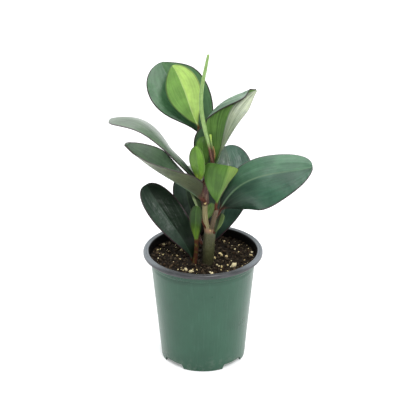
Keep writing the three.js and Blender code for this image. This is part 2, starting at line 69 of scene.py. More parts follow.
# Everything on the plant is measured in millimetres from the pot's axis, which stands here.
POT_AXIS = np.array([-6.3, -4.3, 0.0])
# Points closer than this, in metres, become one.
WELD = 1e-6
# The leaves stay this far inside the box of the solids, in mm.
BOX_MARGIN = 0.05

# The photograph's width in pixels, and the camera: its focal length in those pixels, its place in
# mm from the pot's axis and how many degrees it looks down.
PHOTO_PIXELS = 416
FOCAL_PIXELS = 1325
CAMERA_PLACE = (4.6, -1096.5, 642.3)
CAMERA_PITCH = 24.24
SENSOR_WIDTH = 36.0
# The area lights: degrees round from the viewer, degrees up, width and height in metres, watts.
LIGHTS = {
    "key_softbox": (22, 45, (0.3, 0.3), 8.5),
    "fill_softbox": (-15, 55, (0.7, 0.35), 2.4),
}
LIGHT_AIM = (0, 0, 0.17)
LIGHT_DISTANCE = 1.3

# Side veins: how far they arch towards the tip, the power of that arch and the pitch between them,
# all as shares of the leaf's length or half-width.
VEIN_ARCH = 0.62
VEIN_POWER = 0.7
VEIN_PITCH = 0.24

# Leaves: where the stalk starts, the four points that shape the midrib, the way the upper face
# looks at base and tip (degrees round from the viewer, degrees up), half-widths left and right,
# outline powers (base, tip) of both halves, fold and bend of both halves in degrees, and how far the
# margin waves in mm. A pinch folds a half up at the base only. A roll curls one margin over; its span
# is in mm. A leaf that says how far along it has turned shows its other face from there on, and a
# stalk may lead by a point of its own. Grown and small leaves share some values.
GROWN = dict(fold=(8, 8), bend=(10, 10), wave=0.4)
SMALL = dict(fold=(10, 10), bend=(20, 20), wave=0.2)
LEAVES = [
    dict(
        GROWN, node="leaf_crown_broad", root=(1.5, -5.5, 174.5), stalk=1.6,
        path=[(1, 18, 207.5), (-0.5, 25, 237.5), (-28.5, 31, 250), (-37.5, 44, 272.5)],
        faces=[(0, 10), (-5, 35)], width=(26, 25.3), outline=[(1.15, 0.58), (1.05, 0.72)], wave=0.5),
    dict(
        GROWN, node="leaf_crown_curled", root=(6, -5, 184.5), stalk=1.5,
        path=[(8, -3, 187), (25.5, 2, 214), (11, 2, 249), (47.5, 16, 255.5)],
        faces=[(-20, 0), (-30, 20)], width=(19.2, 21.8), outline=[(1.35, 1.1), (1, 0.85)],
        fold=(10, 0), pinch=(0, 85), wave=0.3,
        roll=dict(side=0, start=0.4, slope=1.9, least=0.08, angle=170, span=5.2)),
    dict(
        GROWN, node="leaf_crown_young", root=(2, -5.5, 176.5), via=(-2.5, 8, 198.5), stalk=1.1,
        path=[(-4, 13, 223), (-13, 15, 240.5), (-14, 20.5, 255), (-27, 24, 276)],
        faces=[(-10, 10), (0, 30)], width=(17.5, 16.5), outline=[(1.15, 0.62)] * 2, fold=(15, 15),
        bend=(20, 20)),
    dict(
        GROWN, node="leaf_crown_back", root=(5, -5, 184.5), stalk=1,
        path=[(4.5, -2, 184), (3, 5, 195.5), (3, 9, 208), (6.5, 10, 226)], faces=[(0, 0), (0, 20)],
        width=(12.5, 12), outline=[(1.05, 0.55)] * 2, fold=(5, 5), bend=(12, 12), wave=0.3),
    dict(
        SMALL, node="leaf_bud_bright", root=(0.5, -8, 174.5), stalk=0.9,
        path=[(-3.5, -12, 180), (-2.5, -14, 191.5), (-5.5, -16.5, 204.5), (-6, -14, 214.5)],
        faces=[(-20, 10), (-20, 30)], width=(7.3, 8.2), outline=[(0.9, 0.6)] * 2),
    dict(
        SMALL, node="leaf_bud_green", root=(4, -6.5, 182.5), stalk=0.9,
        path=[(1.5, -7, 189), (0.5, -6.5, 196.5), (-0.5, -8, 211.5), (0.5, -6, 220.5)],
        faces=[(-20, 0), (-20, 20)], width=(7, 7), outline=[(0.9, 0.6)] * 2),
    dict(
        GROWN, node="leaf_left_upper", root=(0.5, -6, 172.5), stalk=1.5,
        path=[(-3.5, -6.5, 178), (-28.5, -5, 195.5), (-44, 6.5, 241.5), (-82.5, 22, 226.5)],
        faces=[(0, 45), (180, 82)], turned=0.42, width=(18.4, 18.4),
        outline=[(2.1, 0.42), (1.25, 0.34)], fold=(-5, -5), bend=(-10, -10)),
    dict(
        GROWN, node="leaf_left_folded", root=(1.5, -8, 158.5), stalk=1.7,
        path=[(-0.5, -12, 162.5), (-29.5, -15, 187.5), (-44.5, -21.5, 193), (-67.5, -26, 221)],
        faces=[(180, 50), (0, 70)], width=(17.5, 20), outline=[(0.45, 1.25), (0.55, 0.6)],
        fold=(24, 50), bend=(10, 15)),
    dict(
        GROWN, node="leaf_left_low", root=(-9, -6.2, 88.5), stalk=1.7,
        path=[(-10, -6, 99.5), (-14.5, -7.5, 118), (-33, 2.5, 136), (-52, 16, 165)],
        faces=[(10, 15), (10, 35)], width=(14.3, 17), outline=[(1.3, 0.38), (0.85, 0.45)]),
    dict(
        GROWN, node="leaf_left_back", root=(4, -8, 114.5), stalk=1.5,
        path=[(-3.5, 1, 118), (-8, 9.5, 134.5), (-18, 20, 153), (-16.5, 27, 171.5)],
        faces=[(5, 10), (5, 20)], width=(13, 12), outline=[(1, 0.5), (0.7, 0.5)], wave=0.3),
    dict(
        SMALL, node="basal_shoot", root=(-8.5, -11, 94.5), stalk=1.9,
        path=[(-6, -13, 123), (-6.5, -16, 136.5), (-7, -19.5, 148.5), (-5, -18, 158.5)],
        faces=[(-10, 5), (-10, 20)], width=(5.6, 5.8), outline=[(0.9, 0.42)] * 2),
    dict(
        GROWN, node="leaf_right_wide", root=(11, -13.5, 145.5), stalk=1.5,
        path=[(15, -12, 151), (32.5, -15.5, 193.5), (65.5, -17, 187), (96.5, -22, 197.5)],
        faces=[(0, 35), (0, 60)], width=(22, 29), outline=[(0.8, 0.42), (0.6, 0.72)],
        fold=(-5, -12), bend=(-10, -10), wave=0.5),
    dict(
        GROWN, node="leaf_right_bright", root=(12, -14, 153.5), stalk=1.4,
        path=[(12.5, -19, 162), (16, -22, 172.5), (21.5, -26, 193), (23, -23, 199.5)],
        faces=[(160, 5), (160, -5)], width=(11, 23), outline=[(2.4, 0.35), (0.8, 0.42)],
        fold=(45, 6), bend=(10, 6), wave=0.2),
    dict(
        GROWN, node="leaf_right_back", root=(6, -8, 110.5), stalk=1.7,
        path=[(8.5, -4, 114.5), (19, 6.5, 142.5), (34, 9.5, 171), (20, 32, 196)],
        faces=[(5, 15), (5, 50)], width=(22, 20.5), outline=[(1, 0.5), (1, 0.45)]),
    dict(
        SMALL, node="leaf_axil_tiny", root=(5.5, -7, 132.5), stalk=0.8,
        path=[(3.5, -3, 138.5), (5, -3.5, 145.5), (6.5, -3.5, 147), (8, -5, 155.5)],
        faces=[(10, 5), (10, 20)], width=(4, 4.5), outline=[(0.7, 0.3)] * 2, wave=0.1),
    dict(
        GROWN, node="leaf_axil_folded", root=(8, -10, 126.5), stalk=0.9,
        path=[(10.5, -12, 130), (14, -13.5, 137), (14.5, -10, 141), (17, -7, 146.5)],
        faces=[(0, 5), (0, 20)], width=(4, 4.2), outline=[(0.9, 0.35)] * 2, fold=(30, 30),
        bend=(20, 20), wave=0.1),
    dict(
        GROWN, node="leaf_axil_left", root=(5, -9.5, 130.5), stalk=0.8,
        path=[(-2, -13, 146.5), (-3, -13.5, 155), (-7, -9, 163), (-12.5, -5, 174.5)],
        faces=[(10, 10), (10, 20)], width=(2.3, 2.7), outline=[(0.8, 0.5)] * 2, fold=(20, 20),
        wave=0.1),
    dict(
        GROWN, node="leaf_rear_right", root=(5, -7, 126.5), stalk=1.6,
        path=[(5, 5, 130.5), (12, 22.5, 156), (22.5, 41.5, 161.5), (31, 62, 152.5)],
        faces=[(0, 70), (180, 70)], width=(18, 18), outline=[(1.1, 0.5)] * 2),
    dict(
        GROWN, node="leaf_rear_left", root=(1.5, -5, 149.5), stalk=1.3,
        path=[(2, 5, 152.5), (2.5, 22, 170), (-2, 39, 174), (-6, 56, 164.5)],
        faces=[(0, 70), (180, 70)], width=(12, 12), outline=[(1.3, 0.5)] * 2, wave=0.3),
]

# Stalks: points on the centre line and the radius there.
STEM = dict(
    points=[(4, -11, 74.5), (4, -11, 90.5), (5, -10, 114.5), (5.8, -9.2, 127.5), (3.4, -8.6, 134.5),
            (2.2, -8, 141.5), (1.7, -7.5, 152.5), (1.8, -7, 159.5), (1.5, -6, 173.5), (5, -6, 186.5)],
    radii=[5.6, 5.6, 5.6, 5.2, 2.6, 2.4, 2.4, 3.5, 3.3, 2.4])
BRANCH = dict(
    points=[(7, -10, 126.5), (9.5, -12.5, 141.5), (12.5, -15, 154.5)],
    radii=[2.4, 2.3, 2.1])
SPIKE = dict(
    points=[(5, -8, 184.5), (8, -11.5, 194.5), (5.5, -13.5, 214.5), (2, -14.5, 230),
            (-0.5, -15, 243.5), (-1.5, -15, 257.5), (0, -15, 273), (2.5, -14, 285.5),
            (5, -14, 298.5)],
    radii=[1.3, 1.3, 1.3, 1.8, 1.8, 1.8, 1.6, 1.4, 1.0])
YOUNG_SPIKE = dict(
    points=[(7.6, -7.4, 184.5), (9.6, -8.6, 198.5), (8, -10.5, 213), (6.5, -11, 224.5)],
    radii=[0.8, 0.8, 0.8, 1])
THIN_STALK = dict(
    points=[(9.4, -8.4, 196.5), (10.6, -8.4, 204.5), (9.2, -8, 212)],
    radii=[0.6, 0.5, 0.4])


def field(title, about, default):
    """A size in metres that a user can change."""
    return bpy.props.FloatProperty(name=title, description=about, default=default,
                                   subtype="DISTANCE", unit="LENGTH", precision=5)


def amount(title, about, default, most):
    """A number of grains that a user can change."""
    return bpy.props.IntProperty(name=title, description=about, default=default, min=0, max=most)


def paint(title, about, default):
    """A colour that a user can change."""
    return bpy.props.FloatVectorProperty(name=title, description=about, default=default,
                                         subtype="COLOR", size=3, min=0.0, max=1.0)


class PeperomiaSizes(bpy.types.PropertyGroup):
    """Sizes of the pot, the leaves and the soil."""

    rim_radius: field("Rim radius", "Half the pot's width over its lip", 0.055)
    pot_height: field("Pot height", "From the foot ring to the top of the lip", 0.1075)
    foot_radius: field("Foot radius", "Half the pot's width at the bottom", 0.0392)
    soil_level: field("Soil level", "Height of the soil inside the pot", 0.0985)
    leaf_thickness: field("Leaf thickness", "Thickness of a grown leaf beside its midrib", 0.0015)
    groove_depth: field("Midrib groove", "Depth of the groove over the midrib", 0.00035)
    rib_height: field("Midrib ridge", "How far the midrib stands out below", 0.0006)
    vein_depth: field("Side veins", "Depth of the side veins", 0.00004)
    crumb_count: amount("Soil crumbs", "Loose crumbs on the soil", 1500, 4000)
    perlite_count: amount("Perlite grains", "Small pale grains", 170, 600)


class PeperomiaColours(bpy.types.PropertyGroup):
    """Colours of the pot, the leaves, the stem and the soil."""

    pot: paint("Pot", "Green plastic of the pot's body", (0.018, 0.074, 0.043))
    lip: paint("Lip", "Dark plastic of the lip and the inside", (0.025, 0.027, 0.03))
    margin: paint("Leaf margin", "Maroon line round each leaf", (0.026, 0.009, 0.014))
    stalk: paint("Leaf stalk", "Red-brown of the leaf stalks", (0.085, 0.028, 0.018))
    stem_low: paint("Old stem", "Olive of the thick stem", (0.05, 0.054, 0.017))
    stem_high: paint("Young stem", "Tan of the thin stem", (0.2, 0.17, 0.07))
    spike: paint("Spike", "Pale green of the flower spike", (0.19, 0.33, 0.085))
    peat: paint("Peat", "Dark potting soil", (0.007, 0.005, 0.0036))
    perlite: paint("Perlite", "Pale grains in the soil", (0.64, 0.53, 0.25))
    floor: paint("Floor", "Plain pale floor", (0.9, 0.9, 0.92))


# --- Modelling helpers ---

def select_none():
    """Nothing is selected, so that an operator acts only on the new piece."""
    if bpy.context.object and bpy.context.object.mode != "OBJECT":
        bpy.ops.object.mode_set(mode="OBJECT")
    bpy.ops.object.select_all(action="DESELECT")


def pick(piece):
    """The piece is the only one selected, and is active."""
    select_none()
    piece.select_set(True)
    bpy.context.view_layer.objects.active = piece


def settle(piece, material, slot, *nodes):
    """Gives a finished piece its material and its body, and hides the solids of the nodes that it
    stands for.
    """
    piece.data.materials.clear()
    piece.data.materials.append(material)
    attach(piece, BODY)
    if nodes:
        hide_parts(*nodes)


def keep_fact(piece, name, values):
    """Stores a vector at each point, which the materials read."""
    attribute = piece.data.attributes.new(name, "FLOAT_VECTOR", "POINT")
    attribute.data.foreach_set("vector", np.ascontiguousarray(values, np.float32).ravel())


def rolled_grid(name, places, facts):
    """A grid primitive laid round as a closed skin: rows of points in mm from the pot's axis."""
    rows, columns = places.shape[:2]
    select_none()
    bpy.ops.mesh.primitive_grid_add(x_subdivisions=columns, y_subdivisions=rows - 1, size=2)
    piece = bpy.context.object
    piece.name = piece.data.name = name
    flat = np.empty(len(piece.data.vertices) * 3, np.float32)
    piece.data.vertices.foreach_get("co", flat)
    flat = flat.reshape(-1, 3)
    column = np.rint((flat[:, 0] + 1) / 2 * columns).astype(int) % columns
    row = np.rint((flat[:, 1] + 1) / 2 * (rows - 1)).astype(int)
    points = (places[row, column] + POT_AXIS) * MM
    piece.data.vertices.foreach_set("co", np.ascontiguousarray(points, np.float32).ravel())
    for fact, values in facts.items():
        keep_fact(piece, fact, values[row, column])
    bpy.ops.object.mode_set(mode="EDIT")
    bpy.ops.mesh.select_all(action="SELECT")
    bpy.ops.mesh.remove_doubles(threshold=WELD)
    bpy.ops.mesh.dissolve_degenerate(threshold=WELD)
    bpy.ops.mesh.normals_make_consistent(inside=False)
    bpy.ops.object.mode_set(mode="OBJECT")
    bpy.ops.object.shade_smooth()
    return piece


def make(name, skin, material, slot, *nodes):
    """Builds a closed skin as a finished piece."""
    settle(rolled_grid(name, *skin), material, slot, *nodes)


def smoothstep(x):
    """0 below 0, 1 above 1 and a smooth rise between."""
    x = np.clip(x, 0.0, 1.0)
    return x * x * (3 - 2 * x)


def unit(v):
    """The same directions with length 1."""
    return v / np.linalg.norm(v, axis=-1, keepdims=True)


def line_through(spec, count):
    """Evenly spaced points, directions and radii on a smooth line through a stalk's points."""
    points = np.array(spec["points"], float)
    radii = np.array(spec["radii"], float)
    ends = np.vstack([2 * points[0] - points[1], points, 2 * points[-1] - points[-2]])
    knots = np.concatenate([[0], np.cumsum(np.linalg.norm(np.diff(ends, axis=0), axis=1) ** 0.5)])
    fine, at = [], []
    for k in range(len(points) - 1):
        t0, t1, t2, t3 = knots[k:k + 4]
        p0, p1, p2, p3 = ends[k:k + 4]
        share = np.linspace(0, 1, 60, endpoint=k == len(points) - 2)
        t = (t1 + (t2 - t1) * share)[:, None]
        a1 = (t1 - t) / (t1 - t0) * p0 + (t - t0) / (t1 - t0) * p1
        a2 = (t2 - t) / (t2 - t1) * p1 + (t - t1) / (t2 - t1) * p2
        a3 = (t3 - t) / (t3 - t2) * p2 + (t - t2) / (t3 - t2) * p3
        b1 = (t2 - t) / (t2 - t0) * a1 + (t - t0) / (t2 - t0) * a2
        b2 = (t3 - t) / (t3 - t1) * a2 + (t - t1) / (t3 - t1) * a3
        fine.append((t2 - t) / (t2 - t1) * b1 + (t - t1) / (t2 - t1) * b2)
        at.append(k + share)
    fine, at = np.vstack(fine), np.concatenate(at)
    walked = np.concatenate([[0], np.cumsum(np.linalg.norm(np.diff(fine, axis=0), axis=1))])
    even = np.linspace(0, walked[-1], count)
    middle = np.stack([np.interp(even, walked, fine[:, k]) for k in range(3)], axis=1)
    radius = np.interp(np.interp(even, walked, at), np.arange(len(radii)), radii)
    return middle, unit(np.gradient(middle, axis=0)), radius, even


def frames_along(tangents, first):
    """Turns a side direction along a line without twisting it."""
    normals = []
    normal = np.array(first, float)
    for tangent in tangents:
        normal = unit(normal - normal.dot(tangent) * tangent)
        normals.append(normal)
    return np.array(normals)


def stalk_skin(spec, rows, sides, bulge):
    """A round stalk with closed ends. bulge(walked, angle, z) adds to the radius in mm."""
    middle, tangent, radius, walked = line_through(spec, rows)
    normal = frames_along(tangent, (0, -1, 0.01))
    across = np.cross(tangent, normal)
    angle = np.linspace(0, 2 * math.pi, sides, endpoint=False)
    z = middle[:, 2][:, None]
    around = radius[:, None] + bulge(walked[:, None], angle[None, :], z)
    left = walked[-1] - walked
    around = around * np.sqrt(1 - np.clip(1 - left / radius[-1], 0, 1) ** 2)[:, None]
    around[0] = around[-1] = 0
    places = (middle[:, None] + normal[:, None] * (around * np.cos(angle))[..., None]
              + across[:, None] * (around * np.sin(angle))[..., None])
    facts = np.stack(np.broadcast_arrays(walked[:, None] / walked[-1], angle / (2 * math.pi),
                                         walked[:, None]), axis=-1)
    return places, {"stalk_place": facts}


def facing(azimuth, elevation):
    """A direction, in degrees round from the viewer and degrees up."""
    a, e = math.radians(azimuth), math.radians(elevation)
    return np.array([math.sin(a) * math.cos(e), -math.cos(a) * math.cos(e), math.sin(e)])


def outline_at(t, powers):
    """The blade's outline as a share of its half-width, 1 at the widest place."""
    base, tip = powers
    widest = base / (base + tip)
    return t ** base * (1 - t) ** tip / (widest ** base * (1 - widest) ** tip)


# Half-widths in mm: the least one of a blade, the least one of a big leaf, and the one from which the
# midrib has its full relief. The margin's thickness is a share of that beside the midrib.
LEAST_HALF_WIDTH = 0.5
BIG_LEAF = 8
FULL_RELIEF = 12
EDGE_SHARE = 0.6


def vein_wave(along, spread):
    """1 on a side vein and 0 between: the veins leave the midrib and arch towards the tip."""
    phase = spread - VEIN_ARCH * np.power(np.clip(along, 0, 1), VEIN_POWER)
    return smoothstep((np.sin(phase * 2 * math.pi / VEIN_PITCH) - 0.8) / 0.2)


def half_section(leaf, side, t, half_width, v):
    """Distance out, height and slope across one half of the blade, at each section and column."""
    steps = 120
    middle = (np.arange(steps) + 0.5) / steps

    def slope_at(share):
        slope = math.radians(leaf["fold"][side]) + math.radians(leaf["bend"][side]) * share
        slope = slope + math.radians(leaf.get("pinch", (0, 0))[side]) * (1 - t)[:, None]
        roll = leaf.get("roll")
        if roll and roll["side"] == side:
            start = np.maximum(roll["least"], 1 - roll["slope"] * (t - roll["start"]))[:, None]
            run = (share - start) * half_width[:, None] / roll["span"]
            slope += math.radians(roll["angle"]) * smoothstep(run)
        return slope * np.minimum(1, half_width / 5)[:, None]

    slope = slope_at(middle)
    span = (half_width / steps)[:, None]
    still = np.zeros((len(t), 1))
    out = np.hstack([still, np.cumsum(np.cos(slope) * span, axis=1)])
    height = np.hstack([still, np.cumsum(np.sin(slope) * span, axis=1)])
    at = v * steps
    low = np.minimum(at.astype(int), steps - 1)
    share = at - low
    out = out[:, low] * (1 - share) + out[:, low + 1] * share
    height = height[:, low] * (1 - share) + height[:, low + 1] * share
    return out, height, slope_at(v)


def inside_solid(points):
    """Keeps points in mm from the pot's axis within the box of the solids."""
    low, high = np.array(CAD_BOX) / MM
    return np.clip(points, low - POT_AXIS + BOX_MARGIN, high - POT_AXIS - BOX_MARGIN)


def leaf_spine(leaf, s):
    """The midrib's points and directions, and the way that the upper face looks, along the leaf."""
    path = np.array(leaf["path"], float)
    midrib = ((1 - s) ** 3 * path[0] + 3 * (1 - s) ** 2 * s * path[1]
              + 3 * (1 - s) * s ** 2 * path[2] + s ** 3 * path[3])
    tangent = unit(3 * (1 - s) ** 2 * (path[1] - path[0]) + 6 * (1 - s) * s * (path[2] - path[1])
                   + 3 * s ** 2 * (path[3] - path[2]))
    turn = smoothstep(s / leaf["turned"]) if "turned" in leaf else s
    upper = (1 - turn) * facing(*leaf["faces"][0]) + turn * facing(*leaf["faces"][1])
    upper = unit(upper - np.sum(upper * tangent, axis=1, keepdims=True) * tangent)
    return midrib, tangent, upper


def leaf_half(leaf, side, t, v, thick, vein_depth, rng):
    """One half of the blade: where its middle surface lies and how thick it is, in mm."""
    s = t[:, None]
    open_width = leaf["width"][side] * outline_at(t, leaf["outline"][side])
    half_width = np.maximum(np.hypot(open_width, leaf["stalk"]), LEAST_HALF_WIDTH)
    out, height, slope = half_section(leaf, side, t, half_width, v)
    reach = half_width[:, None] * v
    turns = 1.4 + rng.random()
    wave = leaf["wave"] * v ** 2 * np.sin(2 * np.pi * (s * turns + rng.random()))
    body = thick + (EDGE_SHARE * thick - thick) * v
    body = body * np.sqrt(np.clip(1 - np.clip((v - 0.93) / 0.07, 0, 1) ** 2, 0, 1))
    return dict(sign=(-1, 1)[side], out=out, height=height + wave, slope=slope, reach=reach,
                body=np.broadcast_to(body, out.shape), vein=vein_wave(s, v[None, :]) * vein_depth,
                v=v, edge=half_width[:, None] - reach)


def leaf_skin(leaf, sizes, seed):
    """A leaf with its stalk as one closed skin, with the facts that its material reads."""
    widest = max(leaf["width"])
    big = widest > BIG_LEAF
    columns, sections, stalk_rows = (24, 76, 22) if big else (14, 44, 18)
    thick = sizes.leaf_thickness / MM / 2 * (1 if big else 0.75)
    relief = min(1, widest / FULL_RELIEF)
    groove = sizes.groove_depth / MM * relief
    rib = sizes.rib_height / MM * relief
    t = np.minimum(0.9995, 0.5 - 0.5 * np.cos(np.pi * np.arange(sections + 1) / sections))
    s = t[:, None]
    midrib, tangent, upper = leaf_spine(leaf, s)
    sideways = np.cross(tangent, upper)

    # The columns lie closer at the midrib and at the margin.
    even = np.arange(1, columns + 1) / columns
    v = even - 0.6 * np.sin(2 * np.pi * even) / (2 * np.pi)
    rng = random.Random(seed)
    left, right = (leaf_half(leaf, side, t, v, thick, sizes.vein_depth / MM, rng) for side in (0, 1))

    def row(half, face):
        """The skin of one half on its upper (1) or lower (-1) face, from midrib to margin."""
        if face > 0:
            dent = np.exp(-(half["reach"] / 0.9) ** 2) * (1 - 0.7 * s)
            lift = half["body"] - groove * dent - half["vein"]
        else:
            ridge = np.exp(-(half["reach"] / 1.2) ** 2) * (1 - 0.85 * s)
            lift = -(half["body"] + rib * ridge)
        shift = half["sign"] * (half["out"] - np.sin(half["slope"]) * lift)
        rise = half["height"] + np.cos(half["slope"]) * lift
        return (midrib[:, None] + sideways[:, None] * shift[..., None]
                + upper[:, None] * rise[..., None])

    over = midrib + upper * (thick - groove * (1 - 0.7 * s))
    below = midrib - upper * (thick + rib * (1 - 0.85 * s))
    flat = np.concatenate([row(left, 1)[:, ::-1], over[:, None], row(right, 1),
                           row(right, -1)[:, -2::-1], below[:, None], row(left, -1)[:, :-1]], axis=1)
    nothing = np.zeros((len(t), 1))

    def across_fact(key):
        """A fact of both halves, less than 0 on the left, laid out like the skin."""
        a, b = (np.broadcast_to(half["sign"] * half[key], half["out"].shape)
                for half in (left, right))
        return np.concatenate([a[:, ::-1], nothing, b, b[:, -2::-1], nothing, a[:, :-1]], axis=1)

    across, reach = across_fact("v"), across_fact("reach")
    left_width, right_width = (half["edge"][:, :1] + half["reach"][:, :1] for half in (left, right))
    edge_mm = np.where(reach < 0, left_width + reach, right_width - reach)
    ring = flat.shape[1]
    face = np.ones((len(t), ring))
    face[:, 2 * columns + 1:] = -1
    face[:, [0, 2 * columns]] = 0

    # The stalk: round, and blended into the blade over its first tenth.
    angle = np.concatenate([np.linspace(np.pi, 0, 2 * columns + 1),
                            -np.linspace(0, np.pi, 2 * columns + 1)[1:-1]])
    root = np.array(leaf["root"], float)
    base = midrib[0]
    bow = np.array(leaf.get("via", base - tangent[0] * 0.5 * np.linalg.norm(base - root)), float)
    u = np.linspace(0, 1, stalk_rows, endpoint=False)[:, None]
    line = (1 - u) ** 2 * root + 2 * (1 - u) * u * bow + u ** 2 * base
    direction = unit(2 * (1 - u) * (bow - root) + 2 * u * (base - bow))
    back = frames_along(direction[::-1], upper[0])[::-1]
    beside = np.cross(direction, back)

    def circle(centre, side_way, up_way, radius):
        return (centre[:, None] + side_way[:, None] * (radius * np.cos(angle))[..., None]
                + up_way[:, None] * (radius * np.sin(angle))[..., None])

    channel = 1 - 0.14 * np.exp(-((angle - np.pi / 2) / 0.45) ** 2)
    swell = 1 + 0.35 * (1 - u) ** 6
    stalk = circle(line, beside, back, leaf["stalk"] * swell * channel)
    round_blade = circle(midrib, sideways, upper, leaf["stalk"] * np.ones_like(s) * channel)
    share = smoothstep(s / 0.1)[..., None]
    blade = round_blade * (1 - share) + flat * share
    blade[-1, 2 * columns + 1:] = blade[-1, 1:2 * columns][::-1]
    stalk[0] = line[0]
    places = inside_solid(np.concatenate([stalk, blade], axis=0))

    quiet = np.zeros((stalk_rows, ring))
    place_fact = np.stack([
        np.concatenate([u - 1 + quiet, s + np.zeros((1, ring))]),
        np.concatenate([quiet, across]),
        np.concatenate([quiet, reach]),
    ], axis=-1)
    side_fact = np.stack([
        np.concatenate([quiet + np.sign(np.sin(angle)) * 0.5, face]),
        np.concatenate([quiet + 1, 1 - smoothstep(s / 0.07) + np.zeros((1, ring))]),
        np.concatenate([quiet + 5, edge_mm]),
    ], axis=-1)
    return places, {"leaf_place": place_fact, "leaf_side": side_fact}


# --- Finishes ---

class Nodes:
    """A node tree of a material or a world, put together node by node."""

    def __init__(self, owner, coordinates):
        owner.use_nodes = True
        self.tree = owner.node_tree
        self.tree.nodes.clear()
        self.where = self.add("TexCoord").outputs[coordinates]

    def add(self, kind, **settings):
        node = self.tree.nodes.new("ShaderNode" + kind)
        for key, value in settings.items():
            setattr(node, key, value)
        return node

    def put(self, socket, value):
        """A socket takes another node's output or a plain value."""
        if isinstance(value, bpy.types.NodeSocket):
            self.tree.links.new(value, socket)
        elif hasattr(value, "__len__") and len(value) == 3 and len(socket.default_value) == 4:
            socket.default_value = (*value, 1.0)
        else:
            socket.default_value = value

    def add_up(self, a, b):
        return self.math("ADD", a, b)

    def math(self, how, a, b=0.0, c=0.0):
        node = self.add("Math", operation=how)
        for socket, value in zip(node.inputs, (a, b, c)):
            self.put(socket, value)
        return node.outputs[0]

    def times(self, a, b):
        return self.math("MULTIPLY", a, b)

    def ramp(self, value, low, high, start=0.0, end=1.0):
        """Goes smoothly from start to end as the value goes from low to high."""
        node = self.add("MapRange", interpolation_type="SMOOTHSTEP")
        for socket, entry in zip(node.inputs, (value, low, high, start, end)):
            self.put(socket, entry)
        return node.outputs[0]

    def mix(self, share, a, b, how="MIX"):
        node = self.add("Mix", data_type="RGBA", blend_type=how)
        for key, entry in ((0, share), (6, a), (7, b)):
            self.put(node.inputs[key], entry)
        return node.outputs[2]

    def noise(self, scale, detail=3.0, where=None, warp=0.0):
        node = self.add("TexNoise")
        self.put(node.inputs["Vector"], where or self.where)
        values = dict(Scale=scale, Detail=detail, Roughness=0.55, Distortion=warp)
        for key, value in values.items():
            node.inputs[key].default_value = value
        return node.outputs["Fac"]

    def tints(self, colour, *layers):
        """Lays tints over a colour, each with its share."""
        for share, tint in layers:
            colour = self.mix(share, colour, tint)
        return colour

    def cells(self, scale):
        node = self.add("TexVoronoi")
        self.put(node.inputs["Vector"], self.where)
        node.inputs["Scale"].default_value = scale
        return node.outputs["Distance"]

    def fact(self, name):
        node = self.add("Attribute", attribute_name=name)
        return self.split(node.outputs["Vector"])

    def split(self, vector):
        node = self.add("SeparateXYZ")
        self.put(node.inputs[0], vector)
        return node.outputs[0], node.outputs[1], node.outputs[2]

    def join(self, x, y, z):
        node = self.add("CombineXYZ")
        for socket, value in zip(node.inputs, (x, y, z)):
            self.put(socket, value)
        return node.outputs[0]

    def bump(self, height, depth, below=None):
        node = self.add("Bump")
        node.inputs["Distance"].default_value = depth
        self.put(node.inputs["Height"], height)
        if below is not None:
            self.put(node.inputs["Normal"], below)
        return node.outputs[0]


class Finish(Nodes):
    """A procedural material on the object's own coordinates."""

    def __init__(self, name):
        self.material = bpy.data.materials.new(name)
        super().__init__(self.material, "Object")
        self.skin = self.add("BsdfPrincipled")
        self.put(self.add("OutputMaterial").inputs[0], self.skin.outputs[0])

    def done(self, colour, rough, normal=None, **constants):
        """Sets the surface. A constant is a socket's name, with _ for a space, and its value."""
        self.put(self.skin.inputs["Base Color"], colour)
        self.put(self.skin.inputs["Roughness"], rough)
        if normal is not None:
            self.put(self.skin.inputs["Normal"], normal)
        for key, value in constants.items():
            self.put(self.skin.inputs[key.replace("_", " ")], value)
        return self.material
